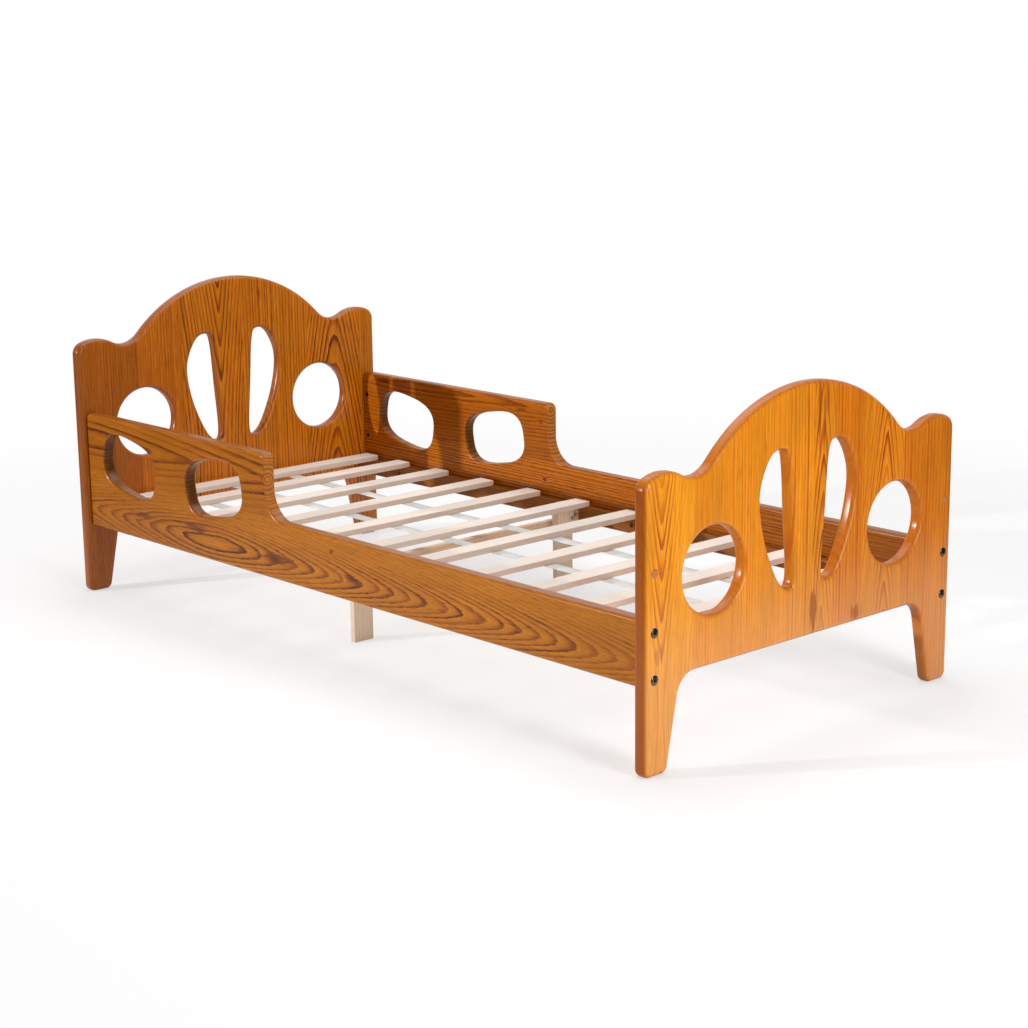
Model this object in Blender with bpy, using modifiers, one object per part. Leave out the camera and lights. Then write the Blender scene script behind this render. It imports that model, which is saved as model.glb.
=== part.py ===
# A child's bed frame of stained pine: a head and a foot board with cut-outs, two side rails that
# rise to guards at the head, ledgers, a lift-out base of taped slats, and a mid support.
# Metres, +Z up. +X runs from the head to the foot, and the rail at -Y is the front one.
import math

import bmesh
import bpy
from mathutils import Matrix, Vector

for old_object in list(bpy.data.objects):
    bpy.data.objects.remove(old_object)

# Clearances
TOUCH = 0.0003  # between faces that rest against each other
PLAY = 0.0003  # round a fastener in its hole
CUT_PAST = 0.002  # how far a cutter runs past the face that it opens

# Mattress well
CLEAR_LENGTH = 1.604
CLEAR_WIDTH = 0.710

# Side rails
RAIL_THICKNESS = 0.026
RAIL_BOTTOM = 0.145
RAIL_HEIGHT = 0.113
RAIL_ROUND = 0.006
GUARD_RISE = 0.1265  # of the guard above the low stretch
GUARD_LENGTH = 0.624  # from the head board's inner face
GUARD_CORNER = 0.014
GUARD_SWEEP = 0.058  # radius where the guard runs down into the rail
GUARD_HEAD_CORNER = 0.010

# Cut-outs of the guard: leaning rounded ovals, a mirrored pair
GUARD_HOLE_FROM_HEAD = 0.154  # centre of the one nearer the head
GUARD_HOLE_SPACING = 0.298
GUARD_HOLE_BELOW_TOP = 0.0945
GUARD_HOLE_HALF_LENGTH = 0.0925
GUARD_HOLE_HALF_HEIGHT = 0.0567
GUARD_HOLE_SQUARENESS = 2.9
GUARD_HOLE_LEAN = math.radians(9.7)
GUARD_HOLE_POINTS = 26

# Head and foot boards
BOARD_THICKNESS = 0.027
BOARD_OVERHANG = 0.011  # of the board's side past the rail's outer face
BOARD_ROUND = 0.009
BOARD_LOWER_EDGE = 0.157
ARCH_TOP = 0.5915  # of the foot board
VALLEY_BELOW_ARCH = 0.118
VALLEY_FROM_SIDE = 0.115
VALLEY_RADIUS = 0.057
SHOULDER_ABOVE_VALLEY = 0.017
SHOULDER_FROM_SIDE = 0.047
SHOULDER_CORNER = 0.024
FOOT_WIDTH_AT_FLOOR = 0.053
FOOT_WIDTH_AT_TOP = 0.085
FOOT_TOP_RADIUS = 0.040
FOOT_FLOOR_CORNER = 0.014
HEAD_RISE = 0.0447  # of the head board's top above the foot board's
HEAD_CUTOUT_RISE = 0.0315  # of its cut-outs above the foot board's

# Cut-outs of the boards: a round hole each side of a fan of two leaves
CUTOUT_LEVEL = 0.3147  # centre of the foot board's round holes
ROUND_HOLE_RADIUS = 0.0725
ROUND_HOLE_FROM_SIDE = 0.161
ROUND_HOLE_POINTS = 28
LEAF_STEPS = 3  # points for each stretch of a leaf's outline
# A leaf's outline, from the board's middle and from the cut-out level
LEAF_OUTLINE = (
    (0.0370, -0.0447),
    (0.0440, 0.0553),
    (0.0515, 0.1473),
    (0.0640, 0.1703),
    (0.0960, 0.1608),
    (0.1205, 0.1053),
    (0.1095, 0.0303),
    (0.0770, -0.0427),
    (0.0500, -0.0647),
)

# Ledgers
LEDGER_DEPTH = 0.020
LEDGER_HEIGHT = 0.032
LEDGER_ABOVE_RAIL_BOTTOM = 0.0095
LEDGER_EASE = 0.0015
LEDGER_SCREW_FROM_END = 0.150

# Slatted base
SLAT_COUNT = 11
SLAT_WIDTH = 0.042
SLAT_THICKNESS = 0.0115
SLAT_END_GAP = 0.008  # from a slat's end to the rail
SLAT_EASE = 0.0012
SLAT_HEAD_GAP = 0.019
SLAT_FOOT_GAP = 0.104
SLAT_FIRST_PITCHES = (0.114, 0.135)  # the base is bunched up at the head
TAPE_PLACES = {"tape_front": -0.187, "tape_middle": -0.047, "tape_back": 0.105}
TAPE_WIDTH = 0.028
TAPE_THICKNESS = 0.0012
TAPE_END_INSET = 0.004  # from the outer slats' edges

# Mid support
SUPPORT_FROM_MIDDLE = -0.1187  # joint face between the beam and the legs
SUPPORT_STOCK = 0.013
SUPPORT_LEG_WIDTH = 0.046
SUPPORT_BEAM_HEIGHT = 0.040
SUPPORT_BEAM_BELOW_LEDGER = 0.034
SUPPORT_FRONT_LEG = -0.209  # its middle, across the bed
SUPPORT_BLOCK_DEPTH = 0.018
SUPPORT_BLOCK_WIDTH = 0.060
SUPPORT_BLOCK_HEIGHT = 0.054
SUPPORT_EASE = 0.001
BLOCK_SCREW_FROM_RAIL = 0.010
BLOCK_SCREW_STEP = (0.008, 0.007)  # across and up, between the two screws
BLOCK_SCREW_BELOW_TOP = 0.022
BLOCK_SCREW_ROOM = 0.024  # left free in front of the block, to reach its screws

# Bolts with barrel nuts
BOLT_RADIUS = 0.003
BOLT_HEAD_RADIUS = 0.0082
BOLT_HEAD_HEIGHT = 0.0038
BOLT_RECESS = 0.0022  # depth of the head's counterbore
BOLT_SOCKET = 0.005  # across flats
BOLT_SOCKET_DEPTH = 0.0022
BOLT_PAST_NUT = 0.007
BOLT_OUT_OF_MIDDLE = 0.0025  # the row of bolts, outwards from the rail's middle
BOLT_ABOVE_RAIL_BOTTOM = 0.016
BOLT_BELOW_RAIL_TOP = 0.020
BOLT_BELOW_GUARD_TOP = 0.0505
NUT_RADIUS = 0.005
NUT_LENGTH = 0.014
NUT_FROM_RAIL_END = 0.015
PLUG_RADIUS = 0.007
PLUG_PROUD = 0.0006

# Wood screws
SCREW_RADIUS = 0.002
SCREW_HEAD_RADIUS = 0.004
SCREW_HEAD_DEPTH = 0.0024
SCREW_RECESS_RADIUS = 0.0018
SCREW_RECESS_DEPTH = 0.0014
SCREW_TIP = 0.005
LEDGER_SCREW_LENGTH = 0.035
BLOCK_SCREW_LENGTH = 0.028
BEAM_SCREW_LENGTH = 0.023

# Facets of round shapes
ROUND_SIDES = 12
SCREW_SIDES = 8
ARC_TOLERANCE = 0.0004  # most that an outline's facet strays from its arc
WIDEST_ARC_STEP = math.radians(20)
EDGE_FACETS = 1  # Blender's bevel resolution for rounded board edges

# Places that follow from the sizes above
HEAD_FACE = -CLEAR_LENGTH / 2
FOOT_FACE = CLEAR_LENGTH / 2
RAIL_FACE = CLEAR_WIDTH / 2
RAIL_MIDDLE = RAIL_FACE + RAIL_THICKNESS / 2
HALF_BOARD = RAIL_FACE + RAIL_THICKNESS + BOARD_OVERHANG
RAIL_TOP = RAIL_BOTTOM + RAIL_HEIGHT
GUARD_TOP = RAIL_TOP + GUARD_RISE
LEDGER_BOTTOM = RAIL_BOTTOM + LEDGER_ABOVE_RAIL_BOTTOM
LEDGER_TOP = LEDGER_BOTTOM + LEDGER_HEIGHT
LEDGER_FACE = RAIL_FACE - TOUCH - LEDGER_DEPTH
SLAT_BOTTOM = LEDGER_TOP + TOUCH
SLAT_REACH = RAIL_FACE - SLAT_END_GAP
BEAM_TOP = LEDGER_TOP - SUPPORT_BEAM_BELOW_LEDGER
LEG_BACK = SUPPORT_FROM_MIDDLE + TOUCH
LEG_FRONT = LEG_BACK + SUPPORT_STOCK
BLOCK_BACK = LEG_FRONT + TOUCH
BLOCK_FRONT = BLOCK_BACK + SUPPORT_BLOCK_DEPTH
SUPPORT_REACH = RAIL_FACE - TOUCH
BOLT_ROW = RAIL_MIDDLE + BOLT_OUT_OF_MIDDLE
BOLT_SEAT = CLEAR_LENGTH / 2 + BOARD_THICKNESS - BOLT_RECESS + TOUCH
NUT_PLACE = CLEAR_LENGTH / 2 - TOUCH - NUT_FROM_RAIL_END
BOLT_LENGTH = BOLT_SEAT - NUT_PLACE + BOLT_PAST_NUT
LOW_BOLT = RAIL_BOTTOM + BOLT_ABOVE_RAIL_BOTTOM
MIDDLE_BOLT = RAIL_TOP - BOLT_BELOW_RAIL_TOP
TOP_BOLT = GUARD_TOP - BOLT_BELOW_GUARD_TOP

# Turns that point a fastener's head along a world axis
HEAD_TO_FOOT_END = (0, math.pi / 2, 0)
HEAD_TO_HEAD_END = (0, -math.pi / 2, 0)
HEAD_TO_FRONT = (math.pi / 2, 0, 0)
HEAD_TO_BACK = (-math.pi / 2, 0, 0)
BOARD_TURN = (math.pi / 2, 0, math.pi / 2)
RAIL_TURN = (math.pi / 2, 0, 0)

bed = bpy.data.collections.new("childs_bed_frame")
bpy.context.scene.collection.children.link(bed)
cutters = bpy.data.collections.new("cutters")
bpy.context.scene.collection.children.link(cutters)
cutter_groups = {}


# Materials

def linear(code):
    channels = [int(code[i:i + 2], 16) / 255 for i in (0, 2, 4)]
    return [c / 12.92 if c <= 0.04045 else ((c + 0.055) / 1.055) ** 2.4 for c in channels] + [1]


def finish(name, code, roughness, metallic=0.0):
    material = bpy.data.materials.new(name)
    material.use_nodes = True
    shader = material.node_tree.nodes["Principled BSDF"]
    shader.inputs["Base Color"].default_value = linear(code)
    shader.inputs["Roughness"].default_value = roughness
    shader.inputs["Metallic"].default_value = metallic
    material.diffuse_color = linear(code)
    return material


board_pine = finish("board_pine", "c97a2c", 0.28)
rail_pine = finish("rail_pine", "a9642a", 0.28)
ledger_pine = finish("ledger_pine", "7b4420", 0.45)
slat_pine = finish("slat_pine", "e6d3b8", 0.6)
support_pine = finish("support_pine", "e2c39c", 0.6)
plug_pine = finish("plug_pine", "c47a44", 0.35)
webbing = finish("webbing", "d9d8d4", 0.9)
dark_steel = finish("dark_steel", "4a4038", 0.35, 1.0)
screw_steel = finish("screw_steel", "3a3634", 0.4, 1.0)


# Outlines, as lists of points in a plane

def on_circle(centre, radius, angle):
    return centre[0] + radius * math.cos(angle), centre[1] + radius * math.sin(angle)


def arc(centre, radius, start, end):
    step = min(WIDEST_ARC_STEP, 2 * math.acos(1 - ARC_TOLERANCE / radius))
    steps = max(2, math.ceil(abs(end - start) / step))
    return [on_circle(centre, radius, start + (end - start) * i / steps) for i in range(steps + 1)]


def direction(start, end):
    return math.atan2(end[1] - start[1], end[0] - start[0])


def filleted(before, corner, after, radius):
    # The arc that rounds one corner of a polygon, inside or outside.
    towards = Vector(before) - Vector(corner)
    onwards = Vector(after) - Vector(corner)
    towards.normalize()
    onwards.normalize()
    half = towards.angle(onwards) / 2
    middle = (towards + onwards).normalized()
    centre = Vector(corner) + middle * radius / math.sin(half)
    start = direction(centre, Vector(corner) + towards * radius / math.tan(half))
    end = direction(centre, Vector(corner) + onwards * radius / math.tan(half))
    turn = (end - start + math.pi) % (2 * math.pi) - math.pi
    return arc(centre, radius, start, start + turn)


def rounded_polygon(corners):
    # Corners are (point, radius) pairs.
    points = []
    for i, (corner, radius) in enumerate(corners):
        if radius == 0:
            points.append(corner)
            continue
        before = corners[i - 1][0]
        after = corners[(i + 1) % len(corners)][0]
        points += filleted(before, corner, after, radius)
    return points


def circle(centre, radius, count):
    return [on_circle(centre, radius, 2 * math.pi * i / count) for i in range(count)]


def rounded_oval(centre, half_length, half_height, squareness, lean):
    # A superellipse, leaning by the angle given.
    points = []
    for i in range(GUARD_HOLE_POINTS):
        angle = 2 * math.pi * i / GUARD_HOLE_POINTS
        along = math.copysign(abs(math.cos(angle)) ** (2 / squareness), math.cos(angle)) * half_length
        up = math.copysign(abs(math.sin(angle)) ** (2 / squareness), math.sin(angle)) * half_height
        points.append((
            centre[0] + along * math.cos(lean) - up * math.sin(lean),
            centre[1] + along * math.sin(lean) + up * math.cos(lean),
        ))
    return points


def smooth_loop(points, steps):
    # A closed Catmull-Rom curve through the points.
    loop = []
    count = len(points)
    for i in range(count):
        p0, p1, p2, p3 = (Vector(points[(i + k) % count]) for k in (-1, 0, 1, 2))
        for step in range(steps):
            t = step / steps
            bend = 2 * p0 - 5 * p1 + 4 * p2 - p3
            twist = 3 * p1 - p0 - 3 * p2 + p3
            place = p1 + 0.5 * ((p2 - p0) * t + bend * t * t + twist * t ** 3)
            loop.append(tuple(place))
    return loop


def board_half_outline(rise):
    # From the top of the arch to the middle of the lower edge, down the +Y side.
    top = ARCH_TOP + rise
    valley_floor = top - VALLEY_BELOW_ARCH
    valley = (HALF_BOARD - VALLEY_FROM_SIDE, valley_floor + VALLEY_RADIUS)
    drop = valley[1] - top
    arch_radius = (valley[0] ** 2 + drop ** 2 - VALLEY_RADIUS ** 2) / (2 * (VALLEY_RADIUS - drop))
    arch = (0, top - arch_radius)
    crest = HALF_BOARD - SHOULDER_FROM_SIDE
    across = crest - valley[0]
    fall = VALLEY_RADIUS - SHOULDER_ABOVE_VALLEY
    shoulder_radius = (across ** 2 + fall ** 2 - VALLEY_RADIUS ** 2) / (2 * SHOULDER_ABOVE_VALLEY)
    shoulder = (crest, valley_floor + SHOULDER_ABOVE_VALLEY - shoulder_radius)
    corner_side = HALF_BOARD - SHOULDER_CORNER
    corner_rise = math.sqrt((shoulder_radius - SHOULDER_CORNER) ** 2 - (corner_side - crest) ** 2)
    corner = (corner_side, shoulder[1] + corner_rise)
    turn = 2 * math.pi
    points = arc(arch, arch_radius, math.pi / 2, direction(arch, valley))
    points += arc(valley, VALLEY_RADIUS, direction(valley, arch) + turn, direction(valley, shoulder) + turn)[1:]
    points += arc(shoulder, shoulder_radius, direction(shoulder, valley), direction(shoulder, corner))[1:]
    points += arc(corner, SHOULDER_CORNER, direction(shoulder, corner), 0)[1:]
    outer = (HALF_BOARD, 0)
    inner = (HALF_BOARD - FOOT_WIDTH_AT_FLOOR, 0)
    hip = (HALF_BOARD - FOOT_WIDTH_AT_TOP, BOARD_LOWER_EDGE)
    points += filleted(points[-1], outer, inner, FOOT_FLOOR_CORNER)
    points += filleted(outer, inner, hip, FOOT_FLOOR_CORNER)
    points += filleted(inner, hip, (0, BOARD_LOWER_EDGE), FOOT_TOP_RADIUS)
    return points


def mirrored(points):
    return [(-across, up) for across, up in reversed(points)]


def board_loops(rise, cutout_rise):
    half = board_half_outline(rise)
    level = CUTOUT_LEVEL + cutout_rise
    hole = circle((HALF_BOARD - ROUND_HOLE_FROM_SIDE, level), ROUND_HOLE_RADIUS, ROUND_HOLE_POINTS)
    leaf = smooth_loop([(across, level + up) for across, up in LEAF_OUTLINE], LEAF_STEPS)
    return [half + mirrored(half[1:]), hole, mirrored(hole), leaf, mirrored(leaf)]


def rail_loops():
    head = HEAD_FACE + TOUCH
    foot = FOOT_FACE - TOUCH
    guard_end = HEAD_FACE + GUARD_LENGTH
    outline = rounded_polygon([
        ((head, RAIL_BOTTOM), 0),
        ((foot, RAIL_BOTTOM), 0),
        ((foot, RAIL_TOP), 0),
        ((guard_end, RAIL_TOP), GUARD_SWEEP),
        ((guard_end, GUARD_TOP), GUARD_CORNER),
        ((head, GUARD_TOP), GUARD_HEAD_CORNER),
    ])
    loops = [outline]
    for place, lean in ((0, -GUARD_HOLE_LEAN), (GUARD_HOLE_SPACING, GUARD_HOLE_LEAN)):
        centre = (HEAD_FACE + GUARD_HOLE_FROM_HEAD + place, GUARD_TOP - GUARD_HOLE_BELOW_TOP)
        loops.append(rounded_oval(
            centre, GUARD_HOLE_HALF_LENGTH, GUARD_HOLE_HALF_HEIGHT, GUARD_HOLE_SQUARENESS, lean))
    return loops


# Solids

def placed(name, mesh, material, location=(0, 0, 0), turn=(0, 0, 0)):
    part = bpy.data.objects.new(name, mesh)
    part.location = location
    part.rotation_euler = turn
    mesh.materials.clear()
    mesh.materials.append(material)
    bed.objects.link(part)
    return part


def evaluated_mesh(source, name):
    # The finished mesh of a curve or of an object with modifiers, which is then removed.
    bpy.context.view_layer.update()
    graph = bpy.context.evaluated_depsgraph_get()
    mesh = bpy.data.meshes.new_from_object(source.evaluated_get(graph))
    mesh.name = name
    bpy.data.objects.remove(source)
    cleaned = bmesh.new()
    cleaned.from_mesh(mesh)
    bmesh.ops.remove_doubles(cleaned, verts=cleaned.verts, dist=1e-6)
    bmesh.ops.recalc_face_normals(cleaned, faces=cleaned.faces)
    cleaned.to_mesh(mesh)
    cleaned.free()
    mesh.shade_smooth()
    mesh.set_sharp_from_angle(angle=math.radians(35))
    return mesh


def cut_from_board(name, loops, thickness, edge_round):
    # A flat board with the outline and cut-outs given, all its edges rounded over.
    curve = bpy.data.curves.new(name, "CURVE")
    curve.dimensions = "2D"
    curve.fill_mode = "BOTH"
    curve.extrude = thickness / 2 - edge_round
    curve.bevel_depth = edge_round
    curve.offset = -edge_round
    curve.bevel_resolution = EDGE_FACETS
    for loop in loops:
        spline = curve.splines.new("POLY")
        spline.points.add(len(loop) - 1)
        spline.use_cyclic_u = True
        for point, place in zip(spline.points, loop):
            point.co = (*place, 0, 1)
    outline = bpy.data.objects.new(name, curve)
    bpy.context.scene.collection.objects.link(outline)
    return evaluated_mesh(outline, name)


def batten(name, low, high, ease, material):
    # A straight piece of sawn wood, or of tape, with its edges eased where that is asked for.
    size = Vector(high) - Vector(low)
    mesh = bpy.data.meshes.new(name)
    block = bmesh.new()
    bmesh.ops.create_cube(block, size=1, matrix=Matrix.Diagonal((*size, 1)))
    block.to_mesh(mesh)
    block.free()
    part = placed(name, mesh, material, (Vector(low) + Vector(high)) / 2)
    if ease:
        eased = part.modifiers.new("eased_edges", "BEVEL")
        eased.width = ease
        eased.segments = 1
        eased.use_clamp_overlap = False
    return part


def turned(name, profile, sides):
    # A round solid from (radius, height) points that run from the top to the bottom.
    mesh = bpy.data.meshes.new(name)
    edges = [(i, i + 1) for i in range(len(profile) - 1)]
    mesh.from_pydata([(radius, 0, height) for radius, height in profile], edges, [])
    shape = bpy.data.objects.new(name, mesh)
    bpy.context.scene.collection.objects.link(shape)
    lathe = shape.modifiers.new("lathe", "SCREW")
    lathe.steps = sides
    lathe.render_steps = sides
    lathe.use_merge_vertices = True
    lathe.merge_threshold = 1e-6
    return shape


def rod(name, radius, length, sides):
    return turned(name, [(0, length / 2), (radius, length / 2), (radius, -length / 2), (0, -length / 2)], sides)


def add_cutter(part_name, mesh, location, turn):
    # Everything that is to be cut from one part goes in one collection.
    if part_name not in cutter_groups:
        group = bpy.data.collections.new("cutters_" + part_name)
        cutters.children.link(group)
        cutter_groups[part_name] = group
    cutter = bpy.data.objects.new("cut_" + part_name, mesh)
    cutter.location = location
    cutter.rotation_euler = turn
    cutter.hide_render = True
    cutter.display_type = "WIRE"
    cutter_groups[part_name].objects.link(cutter)


def cut_out(part):
    boring = part.modifiers.new("boring", "BOOLEAN")
    boring.operation = "DIFFERENCE"
    boring.solver = "EXACT"
    boring.operand_type = "COLLECTION"
    boring.collection = cutter_groups[part.name]


def less(solid, tool):
    # One solid with another one taken out of it.
    boring = solid.modifiers.new("boring", "BOOLEAN")
    boring.operation = "DIFFERENCE"
    boring.solver = "EXACT"
    boring.object = tool
    mesh = evaluated_mesh(solid, solid.name)
    bpy.data.objects.remove(tool)
    return mesh


# Fasteners. A bolt's origin is under its head, and a screw's is in the middle of its head's face.

def bolt_mesh():
    crown = BOLT_HEAD_HEIGHT
    bolt = turned("bolt", [
        (0, crown),
        (0.60 * BOLT_HEAD_RADIUS, crown),
        (0.85 * BOLT_HEAD_RADIUS, 0.80 * crown),
        (BOLT_HEAD_RADIUS, 0.35 * crown),
        (BOLT_HEAD_RADIUS, 0),
        (BOLT_RADIUS, 0),
        (BOLT_RADIUS, -BOLT_LENGTH),
        (0, -BOLT_LENGTH),
    ], ROUND_SIDES)
    socket = rod("socket", BOLT_SOCKET / 2 / math.cos(math.pi / 6), 2 * BOLT_SOCKET_DEPTH, 6)
    socket.location.z = crown
    return less(bolt, socket)


def bolt_cutter_mesh():
    mouth = BOLT_RECESS + CUT_PAST
    recess = BOLT_HEAD_RADIUS + PLAY
    bore = BOLT_RADIUS + PLAY
    end = -BOLT_LENGTH - PLAY
    profile = [(0, mouth), (recess, mouth), (recess, -TOUCH), (bore, -TOUCH), (bore, end), (0, end)]
    return evaluated_mesh(turned("bolt_bore", profile, ROUND_SIDES), "bolt_bore")


def nut_mesh():
    nut = rod("barrel_nut", NUT_RADIUS, NUT_LENGTH, ROUND_SIDES)
    bore = rod("thread", BOLT_RADIUS + PLAY, 4 * NUT_RADIUS, ROUND_SIDES)
    bore.rotation_euler = HEAD_TO_FOOT_END
    return less(nut, bore)


def screw_profile(length):
    return [
        (0, -SCREW_RECESS_DEPTH),
        (SCREW_RECESS_RADIUS, 0),
        (SCREW_HEAD_RADIUS, 0),
        (SCREW_RADIUS, -SCREW_HEAD_DEPTH),
        (SCREW_RADIUS, SCREW_TIP - length),
        (0, -length),
    ]


def screw_cutter_profile(length):
    slope = (SCREW_HEAD_RADIUS - SCREW_RADIUS) / SCREW_HEAD_DEPTH
    mouth = SCREW_HEAD_RADIUS + PLAY + slope * CUT_PAST
    return [
        (0, CUT_PAST),
        (mouth, CUT_PAST),
        (SCREW_RADIUS + PLAY, -SCREW_HEAD_DEPTH),
        (SCREW_RADIUS + PLAY, -length - PLAY),
        (0, -length - PLAY),
    ]


def wood_screw(name, length, location, turn, holes_in):
    mesh = evaluated_mesh(turned(name, screw_profile(length), SCREW_SIDES), name)
    placed(name, mesh, screw_steel, location, turn)
    hole = evaluated_mesh(turned(name + "_hole", screw_cutter_profile(length), SCREW_SIDES), name + "_hole")
    for part_name in holes_in:
        add_cutter(part_name, hole, location, turn)


# Boards and rails

def end_boards():
    middle = CLEAR_LENGTH / 2 + BOARD_THICKNESS / 2
    rises = {"footboard": (0, 0, middle), "headboard": (HEAD_RISE, HEAD_CUTOUT_RISE, -middle)}
    for name, (rise, cutout_rise, along) in rises.items():
        mesh = cut_from_board(name, board_loops(rise, cutout_rise), BOARD_THICKNESS, BOARD_ROUND)
        placed(name, mesh, board_pine, (along, 0, 0), BOARD_TURN)


def side_rails():
    for name, side in (("front_rail", -1), ("back_rail", 1)):
        mesh = cut_from_board(name, rail_loops(), RAIL_THICKNESS, RAIL_ROUND)
        placed(name, mesh, rail_pine, (0, side * RAIL_MIDDLE, 0), RAIL_TURN)


def ledgers():
    # The back ledger is in two lengths, which leave room for the mid support.
    head = HEAD_FACE + TOUCH
    foot = FOOT_FACE - TOUCH
    before_leg = LEG_BACK - TOUCH
    after_block = BLOCK_FRONT + BLOCK_SCREW_ROOM
    lengths = (
        ("front_ledger", -1, head, foot),
        ("back_ledger_head", 1, head, before_leg),
        ("back_ledger_foot", 1, after_block, foot),
    )
    for name, side, start, end in lengths:
        across = sorted((side * LEDGER_FACE, side * (RAIL_FACE - TOUCH)))
        low = (start, across[0], LEDGER_BOTTOM)
        high = (end, across[1], LEDGER_TOP)
        batten(name, low, high, LEDGER_EASE, ledger_pine)
        rail = "front_rail" if side < 0 else "back_rail"
        turn = HEAD_TO_BACK if side < 0 else HEAD_TO_FRONT
        places = (start + LEDGER_SCREW_FROM_END, end - LEDGER_SCREW_FROM_END)
        for number, along in enumerate(places, 1):
            place = (along, side * LEDGER_FACE, (LEDGER_BOTTOM + LEDGER_TOP) / 2)
            wood_screw(f"{name}_screw_{number}", LEDGER_SCREW_LENGTH, place, turn, (name, rail))


# Bolted corners

def corner_bolts():
    bolt = bolt_mesh()
    bore = bolt_cutter_mesh()
    nut = nut_mesh()
    pocket_depth = BOLT_ROW + NUT_LENGTH / 2 + PLAY - LEDGER_FACE + CUT_PAST
    pocket_middle = LEDGER_FACE - CUT_PAST + pocket_depth / 2
    pocket = evaluated_mesh(rod("nut_pocket", NUT_RADIUS + PLAY, pocket_depth, ROUND_SIDES), "nut_pocket")
    levels = {"low": LOW_BOLT, "middle": MIDDLE_BOLT, "top": TOP_BOLT}
    for end, sign in (("head", -1), ("foot", 1)):
        head_turn = HEAD_TO_FOOT_END if sign > 0 else HEAD_TO_HEAD_END
        for side, way in (("front", -1), ("back", 1)):
            rail = side + "_rail"
            ledger = "front_ledger" if side == "front" else f"back_ledger_{end}"
            for level, height in levels.items():
                place = (sign * BOLT_SEAT, way * BOLT_ROW, height)
                if end == "foot" and level == "top":
                    # The boards are bored alike, and the foot end has no guard to bolt.
                    continue
                placed(f"{end}_{side}_{level}_bolt", bolt, dark_steel, place, head_turn)
                seat = (sign * NUT_PLACE, way * BOLT_ROW, height)
                placed(f"{end}_{side}_{level}_nut", nut, dark_steel, seat, RAIL_TURN)
                add_cutter(end + "board", bore, place, head_turn)
                add_cutter(rail, bore, place, head_turn)
                open_at = (sign * NUT_PLACE, way * pocket_middle, height)
                add_cutter(rail, pocket, open_at, RAIL_TURN)
                if level == "low":
                    add_cutter(ledger, pocket, open_at, RAIL_TURN)


def plugs():
    # Wooden plugs fill the foot board's spare bolt holes.
    length = BOARD_THICKNESS + PLUG_PROUD
    hole = evaluated_mesh(
        rod("plug_hole", PLUG_RADIUS + PLAY, BOARD_THICKNESS + 2 * CUT_PAST, ROUND_SIDES), "plug_hole")
    plug = evaluated_mesh(rod("plug", PLUG_RADIUS, length, ROUND_SIDES), "plug")
    for side, way in (("front", -1), ("back", 1)):
        place = (FOOT_FACE + length / 2, way * BOLT_ROW, TOP_BOLT)
        placed(f"foot_{side}_plug", plug, plug_pine, place, HEAD_TO_FOOT_END)
        add_cutter("footboard", hole, (FOOT_FACE + BOARD_THICKNESS / 2, *place[1:]), HEAD_TO_FOOT_END)


# Slatted base

def slat_places():
    first = HEAD_FACE + SLAT_HEAD_GAP + SLAT_WIDTH / 2
    last = FOOT_FACE - SLAT_FOOT_GAP - SLAT_WIDTH / 2
    places = [first]
    for pitch in SLAT_FIRST_PITCHES:
        places.append(places[-1] + pitch)
    left = SLAT_COUNT - len(places)
    pitch = (last - places[-1]) / left
    start = places[-1]
    return places + [start + pitch * i for i in range(1, left + 1)]


def slatted_base():
    places = slat_places()
    half = SLAT_WIDTH / 2
    for number, along in enumerate(places, 1):
        low = (along - half, -SLAT_REACH, SLAT_BOTTOM)
        high = (along + half, SLAT_REACH, SLAT_BOTTOM + SLAT_THICKNESS)
        batten(f"slat_{number:02d}", low, high, SLAT_EASE, slat_pine)
    for name, across in TAPE_PLACES.items():
        top = SLAT_BOTTOM - TOUCH
        low = (places[0] - half + TAPE_END_INSET, across - TAPE_WIDTH / 2, top - TAPE_THICKNESS)
        high = (places[-1] + half - TAPE_END_INSET, across + TAPE_WIDTH / 2, top)
        batten(name, low, high, 0, webbing)


# Mid support: two legs in front of a beam, with a block that ties the back leg to the rail's side

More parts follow.
